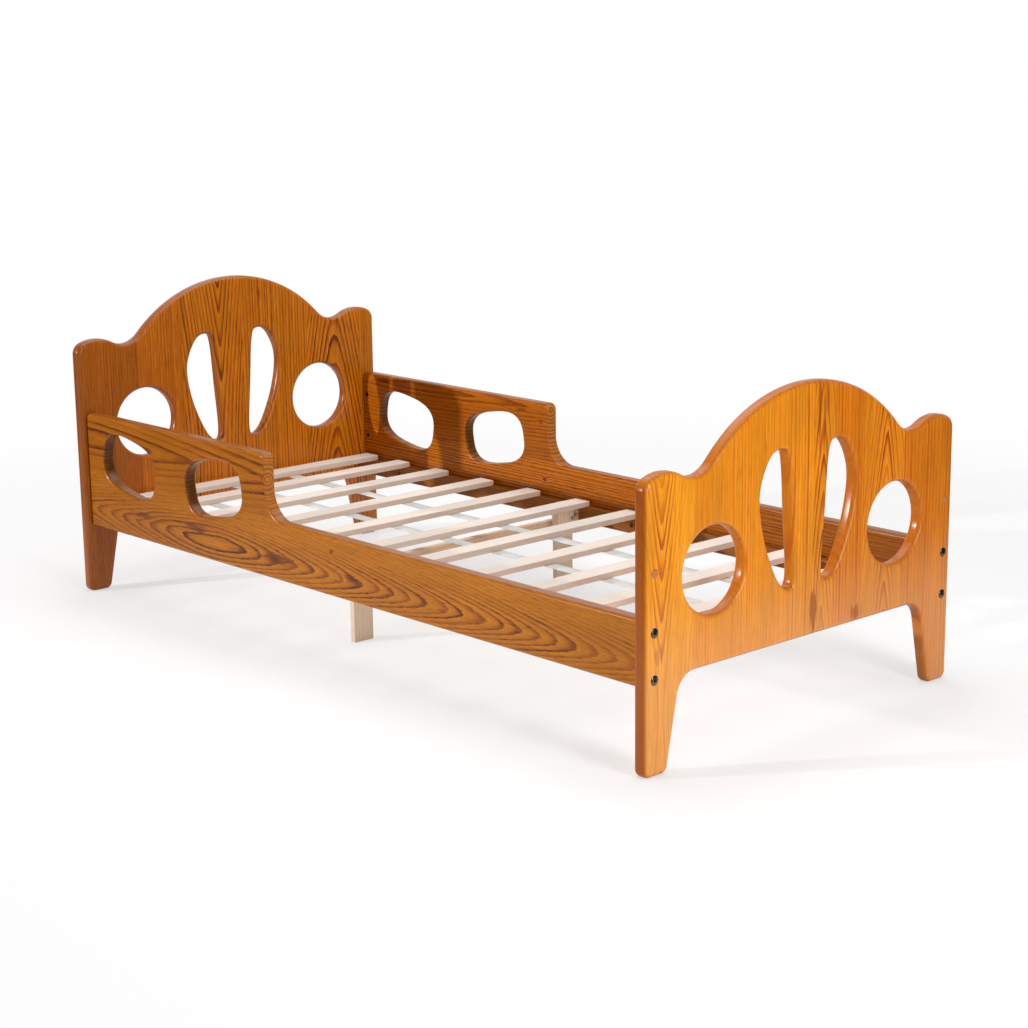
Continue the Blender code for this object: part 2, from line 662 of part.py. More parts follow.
def mid_support():
    beam_front = SUPPORT_FROM_MIDDLE
    beam_back = beam_front - SUPPORT_STOCK
    beam_bottom = BEAM_TOP - SUPPORT_BEAM_HEIGHT
    front_side = SUPPORT_FRONT_LEG - SUPPORT_LEG_WIDTH / 2
    front_inner = SUPPORT_FRONT_LEG + SUPPORT_LEG_WIDTH / 2
    back_inner = SUPPORT_REACH - SUPPORT_LEG_WIDTH
    batten("support_beam", (beam_back, front_side, beam_bottom), (beam_front, SUPPORT_REACH, BEAM_TOP),
           SUPPORT_EASE, support_pine)
    batten("support_leg_front", (LEG_BACK, front_side, 0), (LEG_FRONT, front_inner, BEAM_TOP),
           SUPPORT_EASE, support_pine)
    batten("support_leg_back", (LEG_BACK, back_inner, 0), (LEG_FRONT, SUPPORT_REACH, LEDGER_TOP),
           SUPPORT_EASE, support_pine)
    block_inner = SUPPORT_REACH - SUPPORT_BLOCK_WIDTH
    batten("support_block", (BLOCK_BACK, block_inner, LEDGER_TOP - SUPPORT_BLOCK_HEIGHT),
           (BLOCK_FRONT, SUPPORT_REACH, LEDGER_TOP), SUPPORT_EASE, support_pine)
    for number in (1, 2):
        across = SUPPORT_REACH - BLOCK_SCREW_FROM_RAIL + (number - 2) * BLOCK_SCREW_STEP[0]
        height = LEDGER_TOP - BLOCK_SCREW_BELOW_TOP + (number - 2) * BLOCK_SCREW_STEP[1]
        wood_screw(f"block_screw_{number}", BLOCK_SCREW_LENGTH, (BLOCK_FRONT, across, height),
                   HEAD_TO_FOOT_END, ("support_block", "support_leg_back"))
    leg_middles = {"front": SUPPORT_FRONT_LEG, "back": (back_inner + SUPPORT_REACH) / 2}
    for leg, across in leg_middles.items():
        place = (beam_back, across, beam_bottom + SUPPORT_BEAM_HEIGHT / 2)
        wood_screw(f"beam_screw_{leg}", BEAM_SCREW_LENGTH, place, HEAD_TO_HEAD_END,
                   ("support_beam", f"support_leg_{leg}"))


end_boards()
side_rails()
ledgers()
corner_bolts()
plugs()
slatted_base()
mid_support()
for part_name in cutter_groups:
    cut_out(bed.objects[part_name])
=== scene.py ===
import math
from functools import partial

import bmesh
import bpy
from mathutils import Matrix, Vector


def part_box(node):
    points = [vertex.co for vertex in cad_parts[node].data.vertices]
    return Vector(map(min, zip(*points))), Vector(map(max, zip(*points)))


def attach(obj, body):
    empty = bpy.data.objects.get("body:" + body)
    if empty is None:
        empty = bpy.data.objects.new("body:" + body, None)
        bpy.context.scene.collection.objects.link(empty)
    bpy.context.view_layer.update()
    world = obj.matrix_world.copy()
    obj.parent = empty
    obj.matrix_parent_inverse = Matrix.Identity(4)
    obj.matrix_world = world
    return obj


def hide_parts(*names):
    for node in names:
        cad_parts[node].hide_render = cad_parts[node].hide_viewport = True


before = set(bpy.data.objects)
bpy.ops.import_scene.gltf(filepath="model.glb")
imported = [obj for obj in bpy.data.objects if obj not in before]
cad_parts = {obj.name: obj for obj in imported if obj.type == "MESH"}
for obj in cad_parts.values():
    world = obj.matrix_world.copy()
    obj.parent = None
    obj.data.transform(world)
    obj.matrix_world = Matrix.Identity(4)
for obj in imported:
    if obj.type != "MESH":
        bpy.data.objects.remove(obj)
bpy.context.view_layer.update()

scene = bpy.context.scene
print("frame loaded:", len(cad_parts), "nodes")


# Colours, nodes and materials

def toLinear(code):
    channels = [int(code[i:i + 2], 16) / 255 for i in (0, 2, 4)]
    return [c / 12.92 if c <= 0.04045 else ((c + 0.055) / 1.055) ** 2.4 for c in channels] + [1.0]


def grey(level):
    return (level, level, level, 1.0)


def addNode(tree, kind, inputs=(), operation=None, stops=None, steps="LINEAR", **settings):
    # adds one shader node, sets it up, links it and gives its outputs; inputs go in order or by socket
    made = tree.nodes.new("ShaderNode" + kind)
    if operation:
        made.operation = operation
    for key, value in settings.items():
        setattr(made, key, value)
    for socket, value in inputs.items() if isinstance(inputs, dict) else enumerate(inputs):
        if isinstance(value, bpy.types.NodeSocket):
            tree.links.new(value, made.inputs[socket])
        else:
            made.inputs[socket].default_value = value
    if stops:
        ramp = made.color_ramp
        ramp.interpolation = steps
        ramp.elements.remove(ramp.elements[1])
        ramp.elements[0].position = stops[0][0]
        ramp.elements[0].color = stops[0][1]
        for place, colour in stops[1:]:
            ramp.elements.new(place).color = colour
    return made.outputs


def newMaterial(name):
    material = bpy.data.materials.new(name)
    material.use_nodes = True
    material.node_tree.nodes.clear()
    return material, partial(addNode, material.node_tree)


def streaks(add, place, length, width, detail, roughness=0.5):
    # noise drawn out along the grain, its sizes in metres
    drawn = (1 / length, 1 / width, 1 / width)
    place = add("VectorMath", (place, drawn), "MULTIPLY")[0]
    return add("TexNoise", {"Vector": place, "Scale": 1.0, "Detail": detail, "Roughness": roughness})


# Pine, sawn, planed and finished. Each stave shows the growth rings that its place in the log gives:
# arches where the ring centre lies under the stave, straight lines where it lies far to one side.

pineGrain = {
    "patchLength": 0.2857, "patchWidth": 0.0625, "poreWidth": 0.002, "fibreLength": 0.12, "fibreWidth": 0.004,
    "pieceShift": (9.1, 3.7, 5.3), "unevenPerMetre": 60.0, "linesPerRing": 3, "warmAt": 0.45,
    "ringRise": [(0.0, 0.0), (0.30, 0.06), (0.58, 0.42), (0.74, 1.0), (0.92, 1.0), (1.0, 0.0)],
    "patchy": (0.3, 0.65), "poresAt": (0.54, 0.72), "endLines": (0.30, 0.90),
    "rounded": (0.97, 0.5), "cutEnd": (0.25, 0.95),  # how far the surface turns from the face or the end
    "armSpan": 0.25, "straightFrom": 0.15, "straightTo": 0.1875,  # metres from the ring centre
    "knotBulge": 2.6, "knotRagged": 2.6, "knotCore": 1.9, "knotRim": 2.6,  # in knot sizes
    "roughSpread": 0.05, "edgeRougher": 0.02, "lateSunk": 0.6, "reliefDepth": 0.0003,
}
# how far a stave's values go either way, and the most of the others, to pack them into colours
staveReach = {"pith": 1.0, "depth": 0.1, "lean": 0.5, "mid": 2.0}
staveMost = {"tone": 2.0, "rings": 20.0}


def pine(look):
    g = pineGrain
    material, add = newMaterial(look["name"])
    coords = add("TexCoord")
    place = add("SeparateXYZ", (coords["Object"],))
    along, across, through = (place[i] for i in look["axes"])
    if look.get("variesByPiece"):
        # pieces cut from one material differ by where they lie in the bed
        where = add("ObjectInfo")["Location"]
        seed = add("VectorMath", (where, g["pieceShift"]), "DOT_PRODUCT")["Value"]
        along = add("Math", (along, seed), "ADD")[0]
    plank = add("CombineXYZ", (along, across, through))[0]

    # each stave's own values lie on two stepped ramps across the board
    low, high = look["span"]
    share = add("MapRange", (across, low, high, 0.0, 1.0))[0]
    figureStops, finishStops = [], []
    for stave in look["staves"]:
        start = min(max((stave["from"] - low) / (high - low), 0.0), 1.0)
        packed = {key: stave[key] / (2 * reach) + 0.5 for key, reach in staveReach.items()}
        packed |= {key: stave[key] / most for key, most in staveMost.items()}
        figureStops.append((start, tuple(packed[key] for key in ("pith", "depth", "lean", "tone"))))
        finishStops.append((start, (packed["mid"], packed["rings"], stave["bold"], stave.get("red", 0.0))))
    figure = add("ValToRGB", (share,), stops=figureStops, steps="CONSTANT")
    finish = add("ValToRGB", (share,), stops=finishStops, steps="CONSTANT")
    figureParts = add("SeparateColor", (figure[0],))
    finishParts = add("SeparateColor", (finish[0],))
    pith, depth, lean, mid = (
        add("MapRange", {0: part, 3: -reach, 4: reach}, clamp=False)[0]
        for part, reach in zip((*figureParts[:3], finishParts[0]), staveReach.values()))
    tone = add("Math", (figure[1], staveMost["tone"]), "MULTIPLY")[0]
    spacing = add("Math", (finishParts[1], staveMost["rings"] / 1000), "MULTIPLY")[0]

    # slow wander of the ring centre, and a finer jagged edge on each ring
    wanderLength, wanderWidth, wanderBy = look["wander"]
    slow = streaks(add, plank, wanderLength, wanderWidth, 2.0)
    slowParts = add("SeparateColor", (slow["Color"],))
    jagLength, jagWidth, jagBy = look["jag"]
    fine = streaks(add, plank, jagLength, jagWidth, 3.0)[0]
    sideways, inwards, jag = (
        add("MapRange", {0: part, 3: -by, 4: by}, clamp=False)[0]
        for part, by in ((slowParts[0], wanderBy), (slowParts[1], wanderBy), (fine, jagBy)))

    # distance from the ring centre, and the trunk's taper along the stave
    fromPith = add("Math", (across, pith), "SUBTRACT")[0]
    fromPith = add("Math", (fromPith, sideways), "ADD")[0]
    under = add("Math", (depth, through), "ADD")[0]
    section = add("CombineXYZ", (fromPith, under))[0]
    radius = add("VectorMath", (section,), "LENGTH")["Value"]
    fromMid = add("Math", (along, mid), "SUBTRACT")[0]
    fromMid = add("CombineXYZ", (fromMid, look["turn"]))[0]
    fromMid = add("VectorMath", (fromMid,), "LENGTH")["Value"]
    radius = add("Math", (fromMid, lean, radius), "MULTIPLY_ADD")[0]
    for shift in (inwards, jag):
        radius = add("Math", (radius, shift), "ADD")[0]

    # knots push the rings aside and darken the wood
    darkest = None
    for knotAlong, knotAcross, knotLength, knotWidth, push, dark in look.get("knots", ()):
        off = add("VectorMath", (plank, (knotAlong, knotAcross, 0)), "SUBTRACT")[0]
        off = add("VectorMath", (off, (1 / knotLength, 1 / knotWidth, 0)), "MULTIPLY")[0]
        reach = add("VectorMath", (off,), "LENGTH")["Value"]
        bulge = add("MapRange", (reach, 0.0, g["knotBulge"], push, 0.0), interpolation_type="SMOOTHSTEP")[0]
        radius = add("Math", (radius, bulge), "ADD")[0]
        ragged = add("Math", (fine, g["knotRagged"], reach), "MULTIPLY_ADD")[0]
        core = add("MapRange", (ragged, g["knotCore"], g["knotRim"], dark, 0.0),
                   interpolation_type="SMOOTHSTEP")[0]
        darkest = core if darkest is None else add("Math", (darkest, core), "MAXIMUM")[0]

    # each ring goes from pale early wood to a dark late edge
    count = add("Math", (radius, spacing), "DIVIDE")[0]
    unevenPlace = add("Math", (radius, g["unevenPerMetre"]), "MULTIPLY")[0]
    uneven = add("TexNoise", {"W": unevenPlace, "Scale": 1.0, "Detail": 1.0}, noise_dimensions="1D")[0]
    count = add("Math", (uneven, look["uneven"], count), "MULTIPLY_ADD")[0]
    phase = add("Math", (count,), "FRACT")[0]
    late = add("ValToRGB", (phase,), stops=[(at, grey(level)) for at, level in g["ringRise"]])[0]
    patch = streaks(add, plank, g["patchLength"], g["patchWidth"], 2.0)[0]
    clear = add("MapRange", (patch, *g["patchy"], look["faintest"], 1.0))[0]
    year = add("Math", (count,), "FLOOR")[0]
    year = add("TexWhiteNoise", {"W": year}, noise_dimensions="1D")["Value"]
    year = add("MapRange", {0: year, 3: look["weakest"], 4: 1.0})[0]
    for part in (year, clear, finishParts[2]):
        late = add("Math", (late, part), "MULTIPLY")[0]
    if "sides" in look:
        # the arms of the arches run out into fine lines away from the ring centre; straight grain keeps its own
        near, far, least = look["sides"]
        bold = ((near, 1.0), (far, least), (g["straightFrom"], least), (g["straightTo"], 1.0))
        stops = [(at / g["armSpan"], grey(level)) for at, level in bold]
        aside = add("Math", (fromPith,), "ABSOLUTE")[0]
        aside = add("Math", (aside, 1 / g["armSpan"]), "MULTIPLY")[0]
        arms = add("ValToRGB", (aside,), stops=stops, steps="EASE")[0]
        late = add("Math", (late, arms), "MULTIPLY")[0]
    # short pores, drawn about two millimetres wide so that they show
    poreLength, poreDark = look["pores"]
    pores = streaks(add, plank, poreLength, g["poreWidth"], 1.0)[0]
    pores = add("MapRange", (pores, *g["poresAt"], 0.0, poreDark))[0]
    late = add("Math", (late, pores), "ADD")[0]
    # faint late wood only warms the colour, the strongest is brown
    stops = [(at, toLinear(look[key])) for at, key in ((0.0, "early"), (g["warmAt"], "warm"), (1.0, "late"))]
    wood = add("ValToRGB", (late,), stops=stops)[0]
    between = add("Math", (count, 2 * math.pi * g["linesPerRing"]), "MULTIPLY")[0]
    between = add("Math", (between,), "SINE")[0]
    between = add("Math", (between, look["between"], 1.0), "MULTIPLY_ADD")[0]

    # fibres under a millimetre wide, drawn as streaks of about four so that they show
    fibre = streaks(add, plank, g["fibreLength"], g["fibreWidth"], 4.0, 0.6)[0]
    fibreTone, blotchTone = (
        add("MapRange", (part, weak, 1 - weak, 1 - by, 1 + by))[0]
        for part, weak, by in ((fibre, 0.25, look["fibre"]), (patch, 0.3, look["blotch"])))
    for part in (between, fibreTone, blotchTone):
        tone = add("Math", (tone, part), "MULTIPLY")[0]
    wood = add("VectorMath", {0: wood, "Scale": tone}, "SCALE")[0]
    if "redder" in look:
        red = add("Mix", {0: finish[1], 6: grey(1.0), 7: toLinear(look["redder"])}, data_type="RGBA")[2]
        wood = add("VectorMath", (wood, red), "MULTIPLY")[0]
    if "drift" in look:
        # painted light and shade along the board: paler where light falls, darker where shade falls
        start, end, by, colour = look["drift"]
        wearAndPaintedShading = add("MapRange", (along, start, end, 0.0, by), interpolation_type="SMOOTHSTEP")[0]
        wood = add("Mix", {0: wearAndPaintedShading, 6: wood, 7: toLinear(colour)}, data_type="RGBA")[2]

    # rounded edges take more stain, and cut ends the most; on the rails these colours also hold painted
    # shade and light, and on the bare slats and supports they only draw the sides darker
    facing = add("SeparateXYZ", (coords["Normal"],))
    onEnd, onFace = (add("Math", (facing[look["axes"][i]],), "ABSOLUTE")[0] for i in (0, 2))
    edge = add("MapRange", (onFace, *g["rounded"], 0.0, look["edgeDark"]))[0]
    wood = add("Mix", {0: edge, 6: wood, 7: toLinear(look["edge"])}, data_type="RGBA")[2]
    if "outerSide" in look:
        # the long outer sides are drawn darker than the rims of the cut-outs
        start, end, colour = look["outerSide"]
        out = add("Math", (across,), "ABSOLUTE")[0]
        out = add("MapRange", (out, start, end, 0.0, 1.0))[0]
        out = add("Mix", {0: out, 6: grey(1.0), 7: toLinear(colour)}, data_type="RGBA")[2]
        wood = add("VectorMath", (wood, out), "MULTIPLY")[0]
    cutEnd = add("MapRange", (onEnd, *g["cutEnd"], 0.0, look["endDark"]))[0]
    endRings = add("Math", (count, look["endRings"]), "MULTIPLY")[0]
    endRings = add("Math", (endRings,), "FRACT")[0]
    endRings = add("MapRange", (endRings, *g["endLines"], 0.0, look["endContrast"]))[0]
    endWood = add("Mix", {0: endRings, 6: toLinear(look["end"]), 7: toLinear(look["late"])}, data_type="RGBA")[2]
    if "endTone" in look:
        # painted shade: the walls of the sawn holes are drawn darker than the outer end
        start, end, least = look["endTone"]
        endTone = add("MapRange", (along, start, end, least, 1.0))[0]
        endWood = add("VectorMath", {0: endWood, "Scale": endTone}, "SCALE")[0]
    wood = add("Mix", {0: cutEnd, 6: wood, 7: endWood}, data_type="RGBA")[2]
    if darkest is not None:
        wood = add("Mix", {0: darkest, 6: wood, 7: toLinear(look["knot"])}, data_type="RGBA")[2]

    smooth, dull = look["rough"] - g["roughSpread"], look["rough"] + g["roughSpread"]
    rough = add("MapRange", (fibre, 0.2, 0.8, smooth, dull))[0]
    rough = add("Math", (edge, g["edgeRougher"], rough), "MULTIPLY_ADD")[0]
    height = add("Math", (late, -g["lateSunk"], fibre), "MULTIPLY_ADD")[0]
    bump = add("Bump", {"Height": height, "Strength": look["bump"], "Distance": g["reliefDepth"]})[0]
    # on some pieces the rounded edges shine more or less than the faces
    varnish = {}
    for key, share in zip(("gloss", "coat"), look["edgeShine"]):
        varnish[key] = look[key] if share == 1.0 else add("MapRange", {
            0: edge, 2: look["edgeDark"], 3: look[key], 4: look[key] * share})[0]
    surface = add("BsdfPrincipled", {
        "Base Color": wood, "Roughness": rough, "Normal": bump, "IOR": look["ior"],
        "Specular IOR Level": varnish["gloss"], "Coat Weight": varnish["coat"],
        "Coat Roughness": look["coatRough"],
    })[0]
    add("OutputMaterial", (surface,))
    return material


# In a look, axes are along the grain, across the staves and through the board, and span is across it.
# wander and jag give length, width and reach in metres, pores length and darkness. The painted light and
# shade along the board and on the hole walls give start and end along it. sides says where an arch's arms
# start to thin and where they're thinnest.
# A stave's pith, depth and mid are metres, lean is depth gained per metre, rings is millimetres.
# A knot is its place along and across, its half sizes, its push on the rings in metres, and its darkness.
straight = {"depth": 0.020, "lean": 0.004, "mid": -1.0}
steeper = {**straight, "lean": 0.006}

# Varnished pine of the boards: staves glued side by side, amber stain under a gloss varnish that
# glints on the rounded edges.
boardLook = {
    "axes": (1, 0, 2), "span": (-0.4, 0.4),
    "late": "7c3004", "edge": "a04c1c", "end": "964a1a", "knot": "8a3810", "redder": "ffd0a0",
    "wander": (0.9, 0.22, 0.006), "jag": (0.05, 0.004, 0.0010), "turn": 0.2,
    "uneven": 0.9, "weakest": 0.25, "faintest": 0.55, "between": 0.05, "fibre": 0.17, "blotch": 0.09,
    "pores": (0.030, 0.22), "edgeDark": 0.62, "endDark": 0.3, "endRings": 2.0, "endContrast": 0.5,
    "rough": 0.34, "bump": 0.2, "ior": 1.3,
    "gloss": 0.50, "coat": 0.28, "coatRough": 0.22, "edgeShine": (0.2, 1.3),
}
footLook = {
    **boardLook, "name": "varnishedPineFoot", "early": "ea9716", "warm": "cc6c10", "edge": "b05c10",
    # painted light: the board is drawn paler towards its foot, for light bounced up from the floor
    "drift": (0.32, 0.12, 0.32, "f4b67c"), "blotch": 0.13,
    "sides": (0.010, 0.032, 0.40), "outerSide": (0.3865, 0.3912, "c8ae92"),
    "staves": [
        {"from": -0.400, "pith": -0.356, "depth": -0.007, "lean": -0.21, "mid": 0.10,
         "rings": 8.5, "bold": 0.95, "tone": 1.09},
        {**straight, "from": -0.284, "pith": -0.900, "rings": 7.0, "bold": 0.35, "tone": 0.97, "red": 0.28},
        {**straight, "from": -0.060, "pith": -0.500, "rings": 8.0, "bold": 0.60, "tone": 0.91, "red": 0.22},
        {"from": 0.008, "pith": 0.032, "depth": -0.008, "lean": 0.12, "mid": -0.5,
         "rings": 8.0, "bold": 1.00, "tone": 0.91, "red": 0.22},
        {**steeper, "from": 0.060, "pith": -0.300, "rings": 9.0, "bold": 0.60, "tone": 0.84, "red": 0.60},
        {"from": 0.138, "pith": 0.203, "depth": -0.008, "lean": 0.19, "mid": -0.10,
         "rings": 9.0, "bold": 1.00, "tone": 0.88, "red": 0.36},
        {**straight, "from": 0.249, "pith": 0.700, "rings": 9.0, "bold": 0.55, "tone": 0.81, "red": 0.58},
    ],
    "knots": [
        (0.195, 0.012, 0.038, 0.010, 0.003, 0.62), (0.175, 0.125, 0.013, 0.012, 0.003, 0.55),
        (0.198, -0.364, 0.012, 0.007, 0.002, 0.25), (0.545, 0.021, 0.060, 0.0032, 0.0, 0.7),
        (0.510, 0.034, 0.050, 0.0026, 0.0, 0.6), (0.555, 0.043, 0.030, 0.0022, 0.0, 0.5),
    ],
}
headLook = {
    **boardLook, "name": "varnishedPineHead", "early": "d07a0c", "warm": "b05a06", "late": "4a1e04",
    # dark edge colour: partly stain on the round-overs, partly painted shade on the rims
    "edge": "7a3a14", "edgeShine": (1.0, 1.2), "weakest": 0.45, "faintest": 0.65,
    "pores": (0.030, 0.34), "fibre": 0.22,
    "staves": [
        {**straight, "from": -0.400, "pith": -0.900, "rings": 7.0, "bold": 0.40, "tone": 0.69, "red": 0.35},
        {**straight, "from": -0.249, "pith": -0.700, "rings": 7.0, "bold": 0.38, "tone": 0.91, "red": 0.25},
        {"from": -0.135, "pith": -0.036, "depth": -0.009, "lean": -0.17, "mid": 0.25,
         "rings": 9.0, "bold": 1.00, "tone": 1.03},
        {**steeper, "from": 0.020, "pith": -0.150, "rings": 8.5, "bold": 0.80, "tone": 1.05},
        {**steeper, "from": 0.108, "pith": -0.200, "rings": 8.0, "bold": 0.72, "tone": 1.12},
        {"from": 0.200, "pith": 0.278, "depth": 0.010, "lean": 0.19, "mid": -0.10,
         "rings": 9.0, "bold": 1.00, "tone": 1.12},
        {**straight, "from": 0.345, "pith": 0.700, "rings": 8.0, "bold": 0.65, "tone": 1.06},
    ],
    "knots": [(0.593, 0.070, 0.016, 0.004, 0.002, 0.7)],
}

# Varnished pine of the rails: wide boards with bold arched figure, browner than the end boards.
railLook = {
    "axes": (0, 1, 2), "span": (0.1, 0.4),
    # dark edge colour: partly painted shade on the guard holes' rims; pale end colour: painted light on the
    # guard's end
    "early": "ba7006", "warm": "a05604", "late": "421a04", "edge": "804412", "end": "dc8a3c", "knot": "5e2810",
    "redder": "ffd0a0", "wander": (0.5, 0.08, 0.003), "jag": (0.025, 0.003, 0.0014), "turn": 0.12,
    "uneven": 0.9, "weakest": 0.55, "faintest": 0.6, "between": 0.05, "fibre": 0.17, "blotch": 0.08,
    "pores": (0.020, 0.30), "edgeDark": 0.50, "endDark": 0.8, "endRings": 2.0, "endContrast": 0.6,
    # painted shade: the walls of the guard holes are drawn darker than the guard's end
    "endTone": (-0.26, -0.22, 0.22), "rough": 0.32, "bump": 0.25, "ior": 1.3,
    "gloss": 0.36, "coat": 0.16, "coatRough": 0.16, "edgeShine": (1.0, 1.0),
}
frontRailLook = {
    # painted shade: the rail is drawn darker towards the head end, away from the light
    **railLook, "name": "varnishedPineFrontRail", "drift": (0.0, -0.6, 0.28, "6e3406"),
    "sides": (0.020, 0.055, 0.35),
    "staves": [
        {"from": 0.10, "pith": 0.184, "depth": 0.007, "lean": 0.14, "mid": -0.36,
         "rings": 6.5, "bold": 1.0, "tone": 0.96},
        {"from": 0.262, "pith": 0.334, "depth": -0.005, "lean": 0.10, "mid": -0.80,
         "rings": 14.0, "bold": 1.0, "tone": 0.90, "red": 0.15},
    ],
    "knots": [
        (-0.410, 0.202, 0.036, 0.007, 0.003, 0.75), (-0.145, 0.187, 0.040, 0.008, 0.003, 0.85),
        (0.078, 0.190, 0.016, 0.007, 0.003, 0.7), (-0.600, 0.197, 0.026, 0.006, 0.003, 0.65),
        (0.0224, 0.231, 0.0055, 0.0055, 0.006, 0.7), (-0.215, 0.342, 0.012, 0.003, 0.002, 0.6),
    ],
}
backRailLook = {
    **railLook, "name": "varnishedPineBackRail", "early": "ac6206", "warm": "8e4a04", "late": "361604",
    # painted shadow: the rail is drawn darker towards the foot, where the foot board's shadow falls
    "drift": (0.10, 0.55, 0.42, "5c3204"), "endRings": 1.0, "gloss": 0.30, "coat": 0.10,
    "staves": [
        {"from": 0.10, "pith": 0.020, "depth": 0.010, "lean": 0.010, "mid": -1.0,
         "rings": 7.0, "bold": 0.95, "tone": 1.26, "red": 0.15},
        {"from": 0.262, "pith": 0.372, "depth": -0.004, "lean": 0.05, "mid": -0.60,
         "rings": 8.0, "bold": 0.65, "tone": 1.00, "red": 0.30},
    ],
    "knots": [
        (-0.2002, 0.3452, 0.007, 0.005, 0.004, 0.7), (-0.1894, 0.2225, 0.006, 0.006, 0.005, 0.85),
        (-0.262, 0.362, 0.016, 0.004, 0.003, 0.5),
    ],
}

# Stained pine of the ledgers: sawn battens with the same stain and little shine.
ledgerLook = {
    **railLook, "name": "stainedPineLedger", "axes": (0, 2, 1), "span": (-0.02, 0.02), "variesByPiece": True,
    "early": "96581c", "warm": "7c4412", "late": "4a260c", "edge": "7a4416", "rough": 0.5, "coat": 0.0,
    "staves": [{"from": -0.02, "pith": -0.09, "depth": 0.02, "lean": 0.02, "mid": 0.0,
                "rings": 5.0, "bold": 0.7, "tone": 1.0}],
}

# Bare planed pine of the slats and the mid support: cream early wood, faint pinkish rings, no varnish.
slatLook = {
    "name": "planedPineSlat", "axes": (1, 0, 2), "span": (-0.03, 0.03), "variesByPiece": True,
    "early": "f2e8de", "warm": "e8d2c2", "late": "d8b49c", "edge": "dcbfa9", "end": "e2cbb4",
    "staves": [{"from": -0.03, "pith": -0.05, "depth": 0.02, "lean": 0.02, "mid": 0.0,
                "rings": 4.5, "bold": 0.5, "tone": 1.0}],
    "wander": (0.8, 0.10, 0.022), "jag": (0.06, 0.004, 0.0008), "turn": 0.1,
    "uneven": 0.9, "weakest": 0.3, "faintest": 0.2, "between": 0.02, "fibre": 0.04, "blotch": 0.03,
    "pores": (0.02, 0.10), "edgeDark": 0.55, "endDark": 0.5, "endRings": 1.0, "endContrast": 0.5,
    "rough": 0.6, "bump": 0.3, "ior": 1.4,
    "gloss": 0.35, "coat": 0.0, "coatRough": 0.3, "edgeShine": (1.0, 1.0),
}
supportLook = {**slatLook, "name": "planedPineSupport", "axes": (2, 1, 0),
               "early": "fae4ca", "warm": "ecc9a6", "late": "c99f7c"}
beamLook = {**slatLook, "name": "planedPineBeam", "axes": (1, 2, 0),
            "early": "e8caac", "warm": "d8b08c", "late": "c4926c"}

# Cut end of a stained pine dowel: rings round one point, paler than the board round it.
plugLook = {
    **boardLook, "name": "stainedPinePlug", "axes": (2, 0, 1), "span": (-0.01, 0.01),
    "early": "d08a4e", "warm": "b87038", "late": "9a5526",
    "staves": [{"from": -0.01, "pith": 0.003, "depth": 0.004, "lean": 0.0, "mid": 0.0,
                "rings": 1.4, "bold": 0.6, "tone": 1.0}],
    "wander": (0.1, 0.05, 0.001), "jag": (0.02, 0.004, 0.0003), "edgeDark": 0.1, "endDark": 0.1,
    "rough": 0.4, "gloss": 0.10, "coat": 0.36, "edgeShine": (1.0, 1.0),
}

footPine = pine(footLook)
headPine = pine(headLook)
frontRailPine = pine(frontRailLook)
backRailPine = pine(backRailLook)
ledgerPine = pine(ledgerLook)
slatPine = pine(slatLook)
supportPine = pine(supportLook)
beamPine = pine(beamLook)
plugPine = pine(plugLook)


# Steel of the bolts, nuts, screws and staples: turned or drawn, then bronzed, blackened or galvanised,
# with paler rubbed spots. base and rubbed are its colours.
steelLook = {"spotMm": 2.381, "rubbedMost": 0.6, "roughSpread": 0.08, "bump": 0.15, "reliefDepth": 0.0002}


def rubbedSteel(name, base, rubbed, roughness):
    s = steelLook
    material, add = newMaterial(name)
    coords = add("TexCoord")
    rub = add("TexNoise", {"Vector": coords["Object"], "Scale": 1000 / s["spotMm"], "Detail": 3.0})[0]
    wearAndPaintedShading = add("MapRange", (rub, 0.45, 0.75, 0.0, s["rubbedMost"]))[0]
    colour = add("Mix", {0: wearAndPaintedShading, 6: toLinear(base), 7: toLinear(rubbed)}, data_type="RGBA")[2]
    dull, smooth = roughness + s["roughSpread"], roughness - s["roughSpread"]
    rough = add("MapRange", (rub, 0.3, 0.7, dull, smooth))[0]
    bump = add("Bump", {"Height": rub, "Strength": s["bump"], "Distance": s["reliefDepth"]})[0]
    surface = add("BsdfPrincipled", {
        "Base Color": colour, "Metallic": 1.0, "Roughness": rough, "Normal": bump})[0]
    add("OutputMaterial", (surface,))
    return material


boltSteel = rubbedSteel("bronzedSteelBolt", "5c5046", "b0a292", 0.24)
screwSteel = rubbedSteel("blackenedSteelScrew", "201e1d", "5c5751", 0.36)
stapleSteel = rubbedSteel("galvanisedSteelStaple", "a9abad", "d5d6d7", 0.35)


# Woven polyester tape: fine ribs across its width, off-white, a little soiled, with a soft sheen.
tapeLook = {
    "ribMm": 1.6, "pale": "e3e2de", "shade": "b9b7b1", "soilPerMetre": 18.0,
    "weaveShade": 0.12, "shadeMost": 0.7, "rough": 0.85, "sheen": 0.25, "bump": 0.5, "reliefDepth": 0.0002,
}


